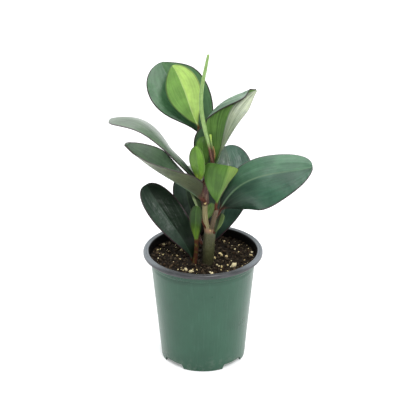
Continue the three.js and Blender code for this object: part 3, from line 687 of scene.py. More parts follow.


# What each leaf looks like: the left and right half of its upper face, its underside, the tint of
# its base, how far along and how strongly that tint reaches, the midrib, how strong the margin and
# the lengthwise streaks show, gloss, how much light goes through, and how deep the hollow along the
# midrib looks. The tones of the two halves are partly the leaf's own green and partly painted light
# and shade: paler on a half that would catch the light, darker on a half turned away. A base tint
# darker than the leaf is painted shade towards the stem; a paler one is the young leaf's own tone.
# Grown leaves: their dark base tint is painted shade towards the stem.
MATURE = dict(under=(0.11, 0.14, 0.08), base=(0.01, 0.02, 0.009), rib=(0.08, 0.14, 0.075),
              fade=0.36, depth=0.92, margin=0.9, streaks=0.25, rough=0.36, shine=0.5, glow=0.02)
FRESH = dict(under=(0.12, 0.27, 0.045), base=(0.3, 0.48, 0.08), rib=(0.26, 0.43, 0.11),
             fade=0.3, depth=0.5, margin=0.4, streaks=0.35, rough=0.44, shine=0.25, glow=0.1)
LOOKS = {
    "leaf_crown_broad": dict(
        MATURE, left=(0.05, 0.135, 0.06), right=(0.095, 0.195, 0.09), shine=0.18),
    # Its right half's pale streaked grey is a painted glare, and its margin line is faint there.
    "leaf_crown_curled": dict(
        MATURE, left=(0.078, 0.17, 0.034), right=(0.335, 0.39, 0.275),
        under=(0.17, 0.26, 0.185), base=(0.07, 0.15, 0.026), margin=0.95, right_margin=0.25,
        streaks=0.75, shine=0.28, glow=0.06),
    "leaf_crown_young": dict(
        FRESH, left=(0.15, 0.3, 0.064), right=(0.43, 0.65, 0.155), base=(0.18, 0.31, 0.05),
        rib=(0.55, 0.7, 0.28), margin=0.5, streaks=0.18),
    "leaf_crown_back": dict(
        MATURE, left=(0.046, 0.105, 0.046), right=(0.046, 0.105, 0.046)),
    "leaf_bud_bright": dict(
        FRESH, left=(0.105, 0.22, 0.03), right=(0.195, 0.4, 0.054), base=(0.66, 0.86, 0.13),
        depth=0.9, rib=(0.15, 0.3, 0.05)),
    "leaf_bud_green": dict(
        FRESH, left=(0.105, 0.235, 0.038), right=(0.095, 0.2, 0.038), base=(0.09, 0.19, 0.034),
        rib=(0.13, 0.27, 0.055)),
    "leaf_left_upper": dict(
        MATURE, left=(0.075, 0.13, 0.075), right=(0.075, 0.13, 0.075),
        under=(0.2, 0.25, 0.19), base=(0.006, 0.012, 0.006), fade=0.46, shine=0.7),
    "leaf_left_folded": dict(
        MATURE, left=(0.055, 0.105, 0.055), right=(0.055, 0.105, 0.055),
        under=(0.085, 0.11, 0.052), base=(0.026, 0.03, 0.013), fade=0.46, margin=0.8),
    "leaf_left_low": dict(
        MATURE, left=(0.018, 0.04, 0.024), right=(0.006, 0.016, 0.007), rib=(0.035, 0.062, 0.04),
        shine=0.25),
    "leaf_left_back": dict(
        MATURE, left=(0.06, 0.105, 0.08), right=(0.036, 0.064, 0.038), fade=0.95),
    "basal_shoot": dict(
        FRESH, left=(0.02, 0.052, 0.01), right=(0.026, 0.062, 0.01), base=(0.15, 0.27, 0.035),
        fade=0.6, depth=0.9, shine=0.15, rib=(0.07, 0.15, 0.03)),
    "leaf_right_wide": dict(
        MATURE, left=(0.062, 0.162, 0.09), right=(0.034, 0.1, 0.06), rib=(0.12, 0.2, 0.11),
        shine=0.45, hollow=0.0024, base=(0.005, 0.011, 0.006), fade=0.58, depth=0.98),
    "leaf_right_bright": dict(
        FRESH, left=(0.08, 0.18, 0.028), right=(0.08, 0.18, 0.028), under=(0.06, 0.146, 0.02),
        under_left=(0.13, 0.22, 0.042), base=(0.045, 0.105, 0.016), rib=(0.11, 0.22, 0.04),
        margin=0.8),
    "leaf_right_back": dict(
        MATURE, left=(0.044, 0.092, 0.054), right=(0.05, 0.125, 0.084), base=(0.005, 0.011, 0.007),
        fade=0.62, depth=0.98, shine=0.55),
    "leaf_axil_tiny": dict(
        FRESH, left=(0.18, 0.32, 0.08), right=(0.18, 0.32, 0.08), streaks=0.8),
    # Its dark left half is painted shade, and its pale margin line a painted highlight.
    "leaf_axil_folded": dict(
        FRESH, left=(0.014, 0.02, 0.007), right=(0.09, 0.14, 0.045), base=(0.022, 0.02, 0.008),
        rib=(0.03, 0.04, 0.015), line=(0.2, 0.26, 0.11), margin=0.15, shine=0.15),
    # Its pale left half is a painted highlight and its dark right half painted shade.
    "leaf_axil_left": dict(
        FRESH, left=(0.17, 0.23, 0.11), right=(0.02, 0.034, 0.012), base=(0.04, 0.034, 0.016),
        rib=(0.06, 0.08, 0.035), margin=0.0, shine=0.15),
    "leaf_rear_right": dict(
        MATURE, left=(0.04, 0.09, 0.05), right=(0.04, 0.09, 0.05)),
    "leaf_rear_left": dict(
        MATURE, left=(0.06, 0.15, 0.05), right=(0.06, 0.15, 0.05)),
}


# How a leaf's finish passes from the left half to the right, and from the under to the upper face.
MIDDLE = (-0.06, 0.06)
TURN = (-0.2, 0.2)


def leaf_finish(name, look, colours, seed):
    """Waxy skin: fibres along the blade, side veins, pale midrib, maroon margin, red stalk, with
    painted light and shade in the halves' tones and the base tint.
    """
    f = Finish(name)
    along, across, reach = f.fact("leaf_place")
    face, stalk, edge = f.fact("leaf_side")
    spread = f.math("ABSOLUTE", across)
    patches = f.noise(60.0, 4.0)
    stretched = f.join(f.times(along, 1.6), f.times(across, 11.0), float(seed))
    fibres = f.noise(1.0, 3.0, stretched, warp=0.4)
    drift = f.math("MULTIPLY_ADD", f.noise(45.0, 2.0), 0.05, spread)
    arch = f.math("POWER", f.math("MAXIMUM", along, 0.0), VEIN_POWER)
    phase = f.math("SUBTRACT", drift, f.times(arch, VEIN_ARCH))
    vein = f.ramp(f.math("SINE", f.times(phase, 2 * math.pi / VEIN_PITCH)), 0.72, 1.0)
    rib = f.ramp(f.math("ABSOLUTE", reach), 0.15, 1.1, 1.0, 0.0)
    rib = f.times(rib, f.ramp(along, 0.35, 1.0, 0.7, 0.25))

    # The halves' tones are partly the leaf's own green and partly painted light and shade.
    halves = f.ramp(across, *MIDDLE)
    top = f.mix(halves, look["left"], look["right"])
    under = look["under"]
    if "under_left" in look:
        under = f.mix(halves, look["under_left"], under)
    colour = f.mix(f.ramp(face, *TURN), under, top)
    # Base tint over the blade's first part: painted shade where it is darker than the leaf, the young
    # leaf's own tone where it is paler.
    colour = f.mix(f.ramp(along, 0.0, look["fade"], look["depth"], 0.0), colour, look["base"])
    cloud = f.mix(f.ramp(patches, 0.3, 0.72), (0.76, 0.78, 0.8), (1.24, 1.2, 1.18))
    colour = f.mix(1.0, colour, cloud, "MULTIPLY")
    streak = f.mix(f.ramp(fibres, 0.32, 0.68), (0.55, 0.58, 0.55), (1.45, 1.4, 1.45))
    colour = f.mix(look["streaks"], colour, f.mix(1.0, colour, streak, "MULTIPLY"))
    colour = f.mix(f.times(vein, 0.05), colour, look["rib"])
    colour = f.mix(rib, colour, look["rib"])
    line = f.ramp(edge, 0.65, 1.35, look["margin"], 0.0)
    if "right_margin" in look:
        line = f.times(line, f.ramp(across, *MIDDLE, 1.0, look["right_margin"]))
    # A leaf's own line colour is a painted highlight along its margin; the rest keep the maroon
    # margin.
    colour = f.mix(line, colour, look.get("line", colours.margin))
    # The stalk is patched with the base tint, so it takes some of that painted shade too.
    red = f.mix(f.ramp(f.noise(350.0, 3.0), 0.4, 0.8, 0.0, 0.35), colours.stalk, look["base"])
    colour = f.mix(stalk, colour, red)

    gloss = f.math("MULTIPLY_ADD", f.noise(120.0, 3.0), 0.16, look["rough"] - 0.08)
    rough = f.add_up(gloss, f.ramp(face, *TURN, 0.12, 0.0))
    normal = f.bump(f.math("SUBTRACT", fibres, f.times(vein, 0.3)), 0.00011)
    for scale, depth in ((900.0, 0.00008), (150.0, 0.00045), (48.0, 0.0016)):
        normal = f.bump(f.noise(scale, 2.0), depth, normal)
    if "hollow" in look:
        normal = f.bump(f.ramp(spread, 0.0, 0.5), look["hollow"], normal)
    shine = f.ramp(along, 0.0, look["fade"], 0.2 * look["shine"], look["shine"])
    return f.done(colour, rough, normal, Subsurface_Weight=look["glow"],
                  Subsurface_Radius=(0.7, 1.0, 0.25), Subsurface_Scale=0.0012,
                  Specular_IOR_Level=shine, Coat_Weight=f.times(shine, 0.6),
                  Coat_Roughness=0.22)


# Heights in metres on the stem: where it forks and thins, and the scar of a lost leaf.
FORK_HEIGHT = 0.1315
SCAR_HEIGHT = 0.158


def stem_finish(name, colours, young, pale):
    """Olive and speckled below with painted shade on its left side, pinkish where it forks, streaked
    above, red towards the leaves.
    """
    f = Finish(name)
    x, _, z = f.split(f.where)
    walked, angle, _ = f.fact("stalk_place")
    streaks = f.noise(1.0, 3.0, f.join(f.times(walked, 9.0), f.times(angle, 34.0), 0.0))
    mottle = f.noise(420.0, 4.0)
    low = f.tints(colours.stem_low,
                  (f.ramp(mottle, 0.35, 0.7), (0.08, 0.085, 0.032)),
                  (f.ramp(z, 0.096, 0.114, 0.7, 0.0), (0.022, 0.018, 0.01)),
                  (f.ramp(f.cells(900.0), 0.16, 0.3, 0.4, 0.0), (0.17, 0.16, 0.08)),
                  # Painted shade: the stem's left side is darker.
                  (f.ramp(x, -0.0075, -0.0025, 0.7, 0.0), (0.018, 0.016, 0.01)))
    high = f.mix(f.ramp(streaks, 0.4, 0.66), young, pale)
    bands = f.mix(f.ramp(streaks, 0.5, 0.6), (0.075, 0.022, 0.016), (0.26, 0.19, 0.11))
    from_fork, from_scar = (f.math("ABSOLUTE", f.math("SUBTRACT", z, height))
                            for height in (FORK_HEIGHT, SCAR_HEIGHT))
    colour = f.tints(low,
                     (f.ramp(z, 0.129, 0.137), high),
                     (f.ramp(from_fork, 0.0, 0.0035, 0.65, 0.0), (0.33, 0.17, 0.11)),
                     (f.ramp(z, 0.1545, 0.16), bands),
                     (f.ramp(from_scar, 0.0015, 0.004, 0.85, 0.0), (0.06, 0.016, 0.012)))
    rough = f.ramp(mottle, 0.2, 0.8, 0.38, 0.55)
    normal = f.bump(streaks, 0.0003)
    normal = f.bump(mottle, 0.00025, normal)
    return f.done(colour, rough, normal, Subsurface_Weight=0.05,
                  Subsurface_Radius=(1.0, 0.6, 0.2), Subsurface_Scale=0.001)


def scar_finish():
    """Pinkish to tan scars with a dark rim."""
    f = Finish("scar")
    hue, far, _ = f.fact("grain_shade")
    colour = f.mix(hue, (0.33, 0.13, 0.08), (0.62, 0.48, 0.19))
    colour = f.mix(f.ramp(far, 0.55, 0.95), colour, (0.2, 0.07, 0.045))
    colour = f.mix(f.ramp(f.noise(900.0, 3.0), 0.45, 0.7, 0.0, 0.4), colour, (0.3, 0.2, 0.1))
    return f.done(colour, 0.5, f.bump(f.noise(1200.0, 3.0), 0.0002))


def ochre_finish():
    """The thin stalk beside the young spike."""
    f = Finish("ochre_stalk")
    colour = f.mix(f.noise(600.0, 3.0), (0.3, 0.15, 0.05), (0.48, 0.33, 0.12))
    return f.done(colour, 0.5, f.bump(f.noise(1500.0), 0.0001))


def spike_finish(name, colours, reach, tip):
    """Red-brown stalk that turns to a pale green spike set with tiny flowers."""
    f = Finish(name)
    share, _, walked = f.fact("stalk_place")
    low, high = reach
    dots = f.cells(1500.0)
    green = f.tints(colours.spike,
                    (f.ramp(f.noise(260.0, 3.0), 0.3, 0.7), (0.27, 0.42, 0.14)),
                    (f.ramp(dots, 0.15, 0.45, 0.45, 0.0), (0.4, 0.53, 0.22)),
                    (f.ramp(share, 0.75, 1.0, 0.0, 0.5), tip))
    brown = f.mix(f.noise(500.0, 3.0), colours.stalk, (0.15, 0.065, 0.036))
    colour = f.mix(f.ramp(walked, low, high), brown, green)
    normal = f.bump(dots, 0.0003)
    return f.done(colour, f.ramp(dots, 0.1, 0.6, 0.55, 0.42), normal, Subsurface_Weight=0.12,
                  Subsurface_Radius=(0.7, 1.0, 0.3), Subsurface_Scale=0.001)


def pot_finish(colours):
    """Moulded green plastic with a faint grain, drag marks and a little dust at the foot."""
    f = Finish("green_plastic")
    x, y, z = f.split(f.where)
    grain = f.noise(1400.0, 3.0)
    cloud = f.noise(32.0, 4.0)
    drag = f.noise(1.0, 3.0, f.join(f.times(x, 500.0), f.times(y, 500.0), f.times(z, 14.0)))
    dust_and_sheen = f.times(f.ramp(z, 0.0, 0.02, 0.3, 0.0), f.ramp(f.noise(210.0, 5.0), 0.45, 0.7))
    colour = f.tints(colours.pot,
                     (f.ramp(cloud, 0.3, 0.7), (0.025, 0.094, 0.055)),
                     (f.ramp(drag, 0.55, 0.75, 0.0, 0.22), (0.052, 0.145, 0.096)),
                     (dust_and_sheen, (0.21, 0.24, 0.2)),
                     (f.ramp(f.noise(520.0, 2.0), 0.74, 0.8, 0.0, 0.35), (0.2, 0.18, 0.14)))
    rough = f.add_up(f.ramp(cloud, 0.2, 0.8, 0.26, 0.34), f.times(dust_and_sheen, 0.5))
    normal = f.bump(drag, 0.00012)
    normal = f.bump(grain, 0.00003, normal)
    return f.done(colour, rough, normal, Specular_IOR_Level=0.4)


# Where the inside of the pot passes into the lip, in metres from the axis.
MOUTH = (0.0498, 0.0508)


def lip_finish(colours):
    """Dark plastic of the lip and the inside, scuffed and dusty with soil, with a painted sheen on top
    of the lip.
    """
    f = Finish("dark_plastic")
    x, y, z = f.split(f.where)
    scuff = f.noise(75.0, 5.0)
    grit = f.noise(900.0, 3.0)
    # Painted sheen: the lip's top turns pale and bluish at the sides and the back, as if it caught the
    # back light, and stays dark at the front.
    dust_and_sheen = f.times(f.ramp(y, -0.054, -0.03), f.ramp(z, 0.1058, 0.1068))
    dirt = f.times(f.ramp(z, 0.096, 0.102, 0.8, 0.0), f.ramp(grit, 0.4, 0.65))
    squares = [f.math("POWER", f.math("SUBTRACT", way, float(at)), 2.0)
               for way, at in zip((x, y), POT_AXIS * MM)]
    out = f.math("SQRT", f.add_up(*squares))
    colour = f.tints(colours.lip,
                     (f.ramp(scuff, 0.35, 0.75), (0.06, 0.064, 0.07)),
                     (f.times(dust_and_sheen, 0.9), (0.15, 0.175, 0.195)),
                     (f.ramp(out, *MOUTH, 1.0, 0.0), (0.006, 0.006, 0.006)),
                     (dirt, (0.03, 0.022, 0.015)))
    rough = f.ramp(scuff, 0.2, 0.8, 0.3, 0.48)
    normal = f.bump(grit, 0.00005)
    shine = f.ramp(out, *MOUTH, 0.06, 0.5)
    return f.done(colour, rough, normal, Specular_IOR_Level=shine)


def soil_finish(name, dark, pale, bump_depth, shade=False):
    """Crumbly peat, or grains of it, each with its own tone."""
    f = Finish(name)
    coarse = f.noise(260.0, 5.0)
    fine = f.noise(1600.0, 3.0)
    tone = f.math("MULTIPLY_ADD", coarse, 0.6, f.times(fine, 0.4))
    share = f.ramp(tone, 0.35, 0.72)
    if shade:
        own, hue, _ = f.fact("grain_shade")
        share = f.math("MULTIPLY_ADD", own, 0.75, f.times(share, 0.35))
    colour = f.mix(share, dark, pale)
    if shade:
        colour = f.mix(f.times(hue, 0.5), colour, (0.06, 0.03, 0.016))
    rough = f.ramp(fine, 0.3, 0.7, 0.7, 0.95)
    normal = f.bump(tone, bump_depth)
    return f.done(colour, rough, normal, Specular_IOR_Level=0.08)


def perlite_finish(colours):
    """Pale porous grains, from white to tan."""
    f = Finish("perlite")
    own, hue, _ = f.fact("grain_shade")
    pits = f.cells(1800.0)
    colour = f.tints(colours.perlite,
                     (own, (0.86, 0.78, 0.5)),
                     (f.times(hue, 0.6), (0.6, 0.4, 0.16)),
                     (f.ramp(pits, 0.1, 0.4, 0.45, 0.0), (0.3, 0.22, 0.12)))
    normal = f.bump(pits, 0.0003)
    return f.done(colour, f.ramp(pits, 0.1, 0.6, 0.9, 0.7), normal, Subsurface_Weight=0.05,
                  Subsurface_Radius=(1.0, 0.9, 0.7), Subsurface_Scale=0.0005)


# --- Pieces ---

def rounded(profile, radius=0.35, steps=4):
    """A closed profile of (r, z) points with small round corners."""
    points = np.array(profile, float)
    soft = []
    for k, here in enumerate(points):
        before, after = points[k - 1], points[(k + 1) % len(points)]
        if here[0] == 0:
            soft.append(here)
            continue
        a, b = before - here, after - here
        reach_a, reach_b = np.linalg.norm(a), np.linalg.norm(b)
        trim = min(radius, reach_a * 0.4, reach_b * 0.4)
        start, end = here + a / reach_a * trim, here + b / reach_b * trim
        for i in range(steps):
            u = i / (steps - 1)
            soft.append((1 - u) ** 2 * start + 2 * (1 - u) * u * here + u ** 2 * end)
    return np.array(soft)


# The pot in mm, where it doesn't follow from the sizes that a user can change.
FOOT_INSIDE = 37.4
FLOOR_UNDER = 5.6
FLOOR_TOP = 7.2
LIP_DEPTH = 4.2
COLLAR_DEPTH = 5.9
INSIDE_RADIUS = 49.8
POT_SIDES = 144
OPENINGS = 4
NOTCH_WIDTH, NOTCH_FLARE, NOTCH_DEPTH, NOTCH_HEIGHT = 21, 1.5, 8, 4.7
DRAIN_RADIUS, DRAIN_OUT, DRAIN_LENGTH = 4, 27, 15
# A cutter starts this far below the floor.
CUT_BELOW = 0.02


def pot_profile(sizes):
    """The pot's section in mm: up the outside, over the lip and down the inside."""
    rim, top, foot = (sizes.rim_radius / MM, sizes.pot_height / MM, sizes.foot_radius / MM)
    lip = top - LIP_DEPTH
    collar = lip - COLLAR_DEPTH
    return [
        (FOOT_INSIDE, 0), (foot, 0), (foot + 0.3, 3), (47.7, collar - 4.6), (47.5, collar - 2.4),
        (47.4, collar - 0.9), (49.2, collar), (50.2, collar + 0.9), (50.2, lip - 0.6), (51.0, lip),
        (rim - 0.9, lip), (rim, lip + 0.9), (rim, top - 1.3), (rim - 0.7, top - 0.3),
        (rim - 1.6, top), (rim - 2.4, top - 0.1), (rim - 2.7, top - 0.55), (rim - 3.1, top - 0.1),
        (51.2, top - 0.05), (50.1, top - 0.6), (49.6, top - 1.8), (49.3, collar + 0.9),
        (46.6, collar - 0.7), (38.3, FLOOR_TOP), (0, FLOOR_TOP), (0, FLOOR_UNDER),
        (FOOT_INSIDE, FLOOR_UNDER),
    ]


def foot_notch():
    """A wedge in mm, wider at the floor, that leaves a notch in the foot ring."""
    select_none()
    bpy.ops.mesh.primitive_cube_add(size=1)
    notch = bpy.context.object
    for vertex in notch.data.vertices:
        high = vertex.co.z > 0
        half = NOTCH_WIDTH / 2 + (0 if high else NOTCH_FLARE)
        vertex.co = Vector((FOOT_INSIDE + vertex.co.x * NOTCH_DEPTH,
                            math.copysign(half, vertex.co.y),
                            NOTCH_HEIGHT if high else -CUT_BELOW))
    return notch


def drain_hole():
    """A rod in mm that leaves a hole in the pot's floor."""
    select_none()
    bpy.ops.mesh.primitive_cylinder_add(vertices=40, radius=DRAIN_RADIUS, depth=DRAIN_LENGTH,
                                        location=(DRAIN_OUT, 0, FLOOR_TOP))
    bpy.ops.object.transform_apply(location=True, rotation=False, scale=False)
    return bpy.context.object


def cut(piece, cutter, turn):
    """Turns a cutter about the pot's axis and takes it out of a piece."""
    cos, sin = math.cos(turn), math.sin(turn)
    for vertex in cutter.data.vertices:
        x, y, z = vertex.co
        vertex.co = Vector((np.array([x * cos - y * sin, x * sin + y * cos, z]) + POT_AXIS) * MM)
    pick(piece)
    modifier = piece.modifiers.new("cut", "BOOLEAN")
    modifier.operation = "DIFFERENCE"
    modifier.solver = "EXACT"
    modifier.object = cutter
    bpy.ops.object.modifier_apply(modifier=modifier.name)
    bpy.data.objects.remove(cutter)


class Step:
    """What the operators share: each builds with the sizes and colours that the panel shows."""

    def execute(self, context):
        self.build(context.scene.peperomia_sizes, context.scene.peperomia_colours)
        return {"FINISHED"}


class PEPEROMIA_OT_pot(Step, bpy.types.Operator):
    """Spins the nursery pot's wall, then cuts its foot notches and drain holes"""

    bl_idname = "peperomia.pot"
    bl_label = "Pot"

    def build(self, sizes, colours):
        line = rounded(pot_profile(sizes))
        loop = np.vstack([line, line[:1]])
        angle = np.linspace(0, 2 * math.pi, POT_SIDES, endpoint=False) + math.pi / POT_SIDES
        places = np.stack([loop[:, :1] * np.cos(angle), loop[:, :1] * np.sin(angle),
                           loop[:, 1:] + 0 * angle], axis=-1)
        pot = rolled_grid("nursery_pot", places, {})
        for k in range(OPENINGS):
            for cutter in (foot_notch(), drain_hole()):
                cut(pot, cutter, math.radians(45 + 90 * k))
        settle(pot, pot_finish(colours), "pot_plastic", "pot")
        pot.data.materials.append(lip_finish(colours))
        lip_bottom = sizes.pot_height / MM - LIP_DEPTH
        for face in pot.data.polygons:
            x, y, z = np.array(face.center) / MM - POT_AXIS
            inward = face.normal.x * x + face.normal.y * y < 0
            lip = z > lip_bottom - 0.2
            inside = z > 6.5 and (inward or face.normal.z > 0.5) and math.hypot(x, y) < INSIDE_RADIUS
            face.material_index = int(lip or inside)
        pick(pot)
        bpy.ops.object.shade_smooth_by_angle(angle=math.radians(32))


def soil_height(x, y):
    """The soil's broad swells, as in the solid, with crumbs and hollows."""
    broad = math.sin(x / 9 + 0.7) * math.cos(y / 11)
    small = math.sin(x / 3.1 + y / 4.3) * math.cos(y / 3.7 - x / 6)
    lump = noise.fractal(Vector((x / 4, y / 4, 0.3)), 0.9, 2.1, 4)
    return 0.7 * broad + 0.5 * small + 0.55 * lump


def scatter(name, base, spots, rng, squash, shade):
    """Copies one stone to many places, each turned, squashed and dented, as a single piece."""
    points, faces, shades = [], [], []
    shape = np.array([vertex.co[:] for vertex in base.data.vertices])
    corners = [tuple(face.vertices) for face in base.data.polygons]
    for x, y, z, radius in spots:
        spin = np.array([[rng.gauss(0, 1) for _ in range(3)] for _ in range(3)])
        turn, _ = np.linalg.qr(spin)
        if np.linalg.det(turn) < 0:
            turn[:, 0] *= -1
        stretch = np.array([rng.uniform(*squash[k]) for k in range(3)])
        dents = np.array([[1 + rng.uniform(-0.2, 0.2)] for _ in shape])
        stone = (shape * dents * stretch * radius) @ turn.T + (x, y, z)
        start = len(points)
        points.extend((stone + POT_AXIS) * MM)
        faces.extend(tuple(start + k for k in face) for face in corners)
        shades.extend([shade(rng)] * len(shape))
    mesh = bpy.data.meshes.new(name)
    mesh.from_pydata([tuple(p) for p in points], [], faces)
    piece = bpy.data.objects.new(name, mesh)
    bpy.context.collection.objects.link(piece)
    keep_fact(piece, "grain_shade", np.array(shades))
    pick(piece)
    bpy.ops.object.shade_smooth()
    return piece


# Grains that stand out in the soil: place and radius in mm.
LARGE_GRAINS = [
    (15.7, 5.2, 1.8), (17.0, 3.4, 1.3), (21.5, 1.1, 1.5), (28.2, -19.4, 2.6), (45.4, 10, 1.4),
    (44.6, 2.5, 1.3), (43.6, 5.0, 1.0), (-15.3, -27.5, 1.6), (-11, -31.8, 1.9), (-8.6, -30.2, 1.1),
    (8.2, -31.4, 1.5), (10.6, -3.1, 1.3), (12.8, -16.4, 1.1), (17, -20, 1.3), (14.6, -19, 0.9),
    (-42, 13, 1.4), (-36.9, 25, 1.6), (-20, 14, 1.5), (6.5, -29.5, 1.0), (22.5, -17, 1.0),
    (-24, 3, 1.3), (-30, -8, 1.1), (-2, 30, 1.4), (20, 32, 1.5), (-14, 38, 1.2), (34, 24, 1.3),
]


# The soil in mm, with the round spots that stay free of grains for the stem and the shoots: place
# and radius.
SOIL_BOTTOM = 7.5
SOIL_EDGE = 98.7
SOIL_RADIUS = 49.0
SOIL_SIDES, SOIL_RINGS = 150, 70
BARE_SPOTS = ((4, -11, 6.2), (-8.8, -8.6, 4.6))
GRAIN_REACH = 48.0
GRAIN_SEED = 7


class PEPEROMIA_OT_soil(Step, bpy.types.Operator):
    """Fills the pot with peat and strews crumbs, bark and perlite over it"""

    bl_idname = "peperomia.soil"
    bl_label = "Soil"

    def build(self, sizes, colours):
        level = sizes.soil_level / MM
        angle = np.linspace(0, 2 * math.pi, SOIL_SIDES, endpoint=False)
        rows = [[(0.0, 0.0, SOIL_BOTTOM)] * SOIL_SIDES]
        for r, z in ((38.0, SOIL_BOTTOM), (46.3, 97.0), (SOIL_RADIUS, SOIL_EDGE - 0.1)):
            rows.append([(r * math.cos(a), r * math.sin(a), z) for a in angle])
        for k in range(SOIL_RINGS, 0, -1):
            r = SOIL_RADIUS * k / SOIL_RINGS
            ring = []
            for a in angle:
                x, y = r * math.cos(a), r * math.sin(a)
                z = level + soil_height(x, y)
                ring.append((x, y, max(SOIL_EDGE, z) if k > SOIL_RINGS - 5 else z))
            rows.append(ring)
        rows.append([(0.0, 0.0, level + soil_height(0, 0))] * SOIL_SIDES)
        peat = soil_finish("peat", colours.peat, (0.02, 0.014, 0.009), 0.0009)
        make("soil_bed", (np.array(rows), {}), peat, "soil", "soil")

        rng = random.Random(GRAIN_SEED)

        def spots(count, low, high, sink):
            """Random places for grains from low to high in radius, most of them small, in mm."""
            made = []
            while len(made) < count:
                a, r = rng.uniform(0, 2 * math.pi), GRAIN_REACH * math.sqrt(rng.random())
                x, y = r * math.cos(a), r * math.sin(a)
                if any(math.hypot(x - at_x, y - at_y) < clear for at_x, at_y, clear in BARE_SPOTS):
                    continue
                size = low + (high - low) * rng.random() ** 2.2
                made.append((x, y, level + soil_height(x, y) + size * sink, size))
            return made

        def stone(detail):
            """A round stone with a radius of 1, to copy."""
            select_none()
            bpy.ops.mesh.primitive_ico_sphere_add(subdivisions=detail, radius=1)
            return bpy.context.object

        coarse, fine = stone(1), stone(2)
        crumbs = scatter("peat_crumbs", coarse, spots(sizes.crumb_count, 0.45, 1.9, 0.25), rng,
                         ((0.7, 1.3), (0.7, 1.2), (0.5, 1.0)),
                         lambda r: (r.random() ** 2.5, r.random() ** 4, 0.0))
        settle(crumbs, soil_finish("crumb", colours.peat, (0.08, 0.062, 0.04), 0.0004, True),
               "soil")
        bark = scatter("bark_chips", coarse, spots(110, 0.8, 2.6, 0.35), rng,
                       ((0.9, 1.7), (0.5, 0.9), (0.15, 0.3)),
                       lambda r: (r.random(), r.random(), 0.0))
        settle(bark, soil_finish("bark", (0.018, 0.012, 0.008), (0.15, 0.11, 0.066), 0.0004, True),
               "soil")
        pale = [(x, y, level + soil_height(x, y) + radius * 0.45, radius)
                for x, y, radius in LARGE_GRAINS]
        pale += spots(sizes.perlite_count, 0.25, 1.0, 0.4)
        grains = scatter("perlite_grains", fine, pale, rng,
                         ((0.8, 1.25), (0.8, 1.2), (0.6, 0.95)),
                         lambda r: (r.random(), r.random() ** 2, 0.0))
        settle(grains, perlite_finish(colours), "soil")
        bpy.data.objects.remove(coarse)
        bpy.data.objects.remove(fine)


class PEPEROMIA_OT_stem(Step, bpy.types.Operator):
    """Grows the main stem with its swollen nodes, the side branch and the leaf scars"""

    bl_idname = "peperomia.stem"
    bl_label = "Stem"

    def build(self, sizes, colours):
        skin = stem_finish("stem_skin", colours, colours.stem_high, (0.4, 0.35, 0.18))

        def bark(walked, angle, z):
            """Swollen rings at the leaf nodes, faint ribs and an old scar line."""
            rings = 0.5 * np.exp(-((z - 158) / 2) ** 2) + 0.4 * np.exp(-((z - 173.5) / 2) ** 2)
            ribs = 0.07 * np.sin(angle * 9 + walked / 7) * np.ones_like(z)
            scar_lines = -0.12 * np.exp(-((z - 115.5) / 0.5) ** 2)
            return rings + ribs + scar_lines

        make("main_stem", stalk_skin(STEM, 170, 48, bark), skin, "stem", "stem")
        brown = stem_finish("branch_skin", colours, (0.07, 0.048, 0.024), (0.15, 0.105, 0.055))
        ribbed = stalk_skin(BRANCH, 50, 32, lambda w, a, z: 0.05 * np.sin(a * 7) + 0 * w)
        make("side_branch", ribbed, brown, "stem")
        scars = []
        for at, out, radius, hue in (((2.0, -10.5, 158.2), (0.0, -1, 0.1), 1.4, 1.0),
                                     ((6.9, -12.6, 132.2), (0.0, -1, 0.2), 1.2, 0.9)):
            select_none()
            bpy.ops.mesh.primitive_uv_sphere_add(segments=28, ring_count=16, radius=1)
            scar = bpy.context.object
            turn = Vector(out).to_track_quat("Z", "Y")
            shades = []
            for vertex in scar.data.vertices:
                x, y, z = vertex.co
                far = math.hypot(x, y)
                rim = 0.16 * math.exp(-((far - 0.8) / 0.16) ** 2) if z > 0 else 0
                local = Vector((x * radius, y * radius * 1.15, (z * 0.42 + rim) * radius))
                place = np.array(turn @ local) + np.array(at)
                vertex.co = Vector((place + POT_AXIS) * MM)
                shades.append((hue, far, 0.0))
            keep_fact(scar, "grain_shade", np.array(shades))
            bpy.ops.object.shade_smooth()
            scars.append(scar)
        select_none()
        for scar in scars:
            scar.select_set(True)
        bpy.context.view_layer.objects.active = scars[0]
        bpy.ops.object.join()
        scar = bpy.context.object
        scar.name = scar.data.name = "leaf_scars"
        settle(scar, scar_finish(), "stem")


class PEPEROMIA_OT_spikes(Step, bpy.types.Operator):
    """Raises the tall flower spike, the young one and its thin neighbour"""

    bl_idname = "peperomia.spikes"
    bl_label = "Flower spikes"

    def build(self, sizes, colours):
        def flowers(first, depth):
            """Rows of tiny flowers from a distance along the stalk on, in mm."""
            def bulge(walked, angle, z):
                on = smoothstep((walked - first) / 6)
                lattice = np.cos(7 * angle + walked * 2.6) * np.cos(7 * angle - walked * 2.6)
                return on * depth * lattice
            return bulge

        green = spike_finish("spike_skin", colours, (27, 37), (0.25, 0.42, 0.11))
        make("tall_spike", stalk_skin(SPIKE, 300, 42, flowers(34, 0.13)), green, "spike", "spike_tall")
        fresh = spike_finish("young_skin", colours, (24, 33), (0.55, 0.75, 0.08))
        make("young_spike", stalk_skin(YOUNG_SPIKE, 90, 28, flowers(26, 0.06)), fresh, "spike",
             "spike_small")
        smooth = stalk_skin(THIN_STALK, 40, 20, lambda w, a, z: 0 * w * a)
        make("thin_stalk", smooth, ochre_finish(), "spike")


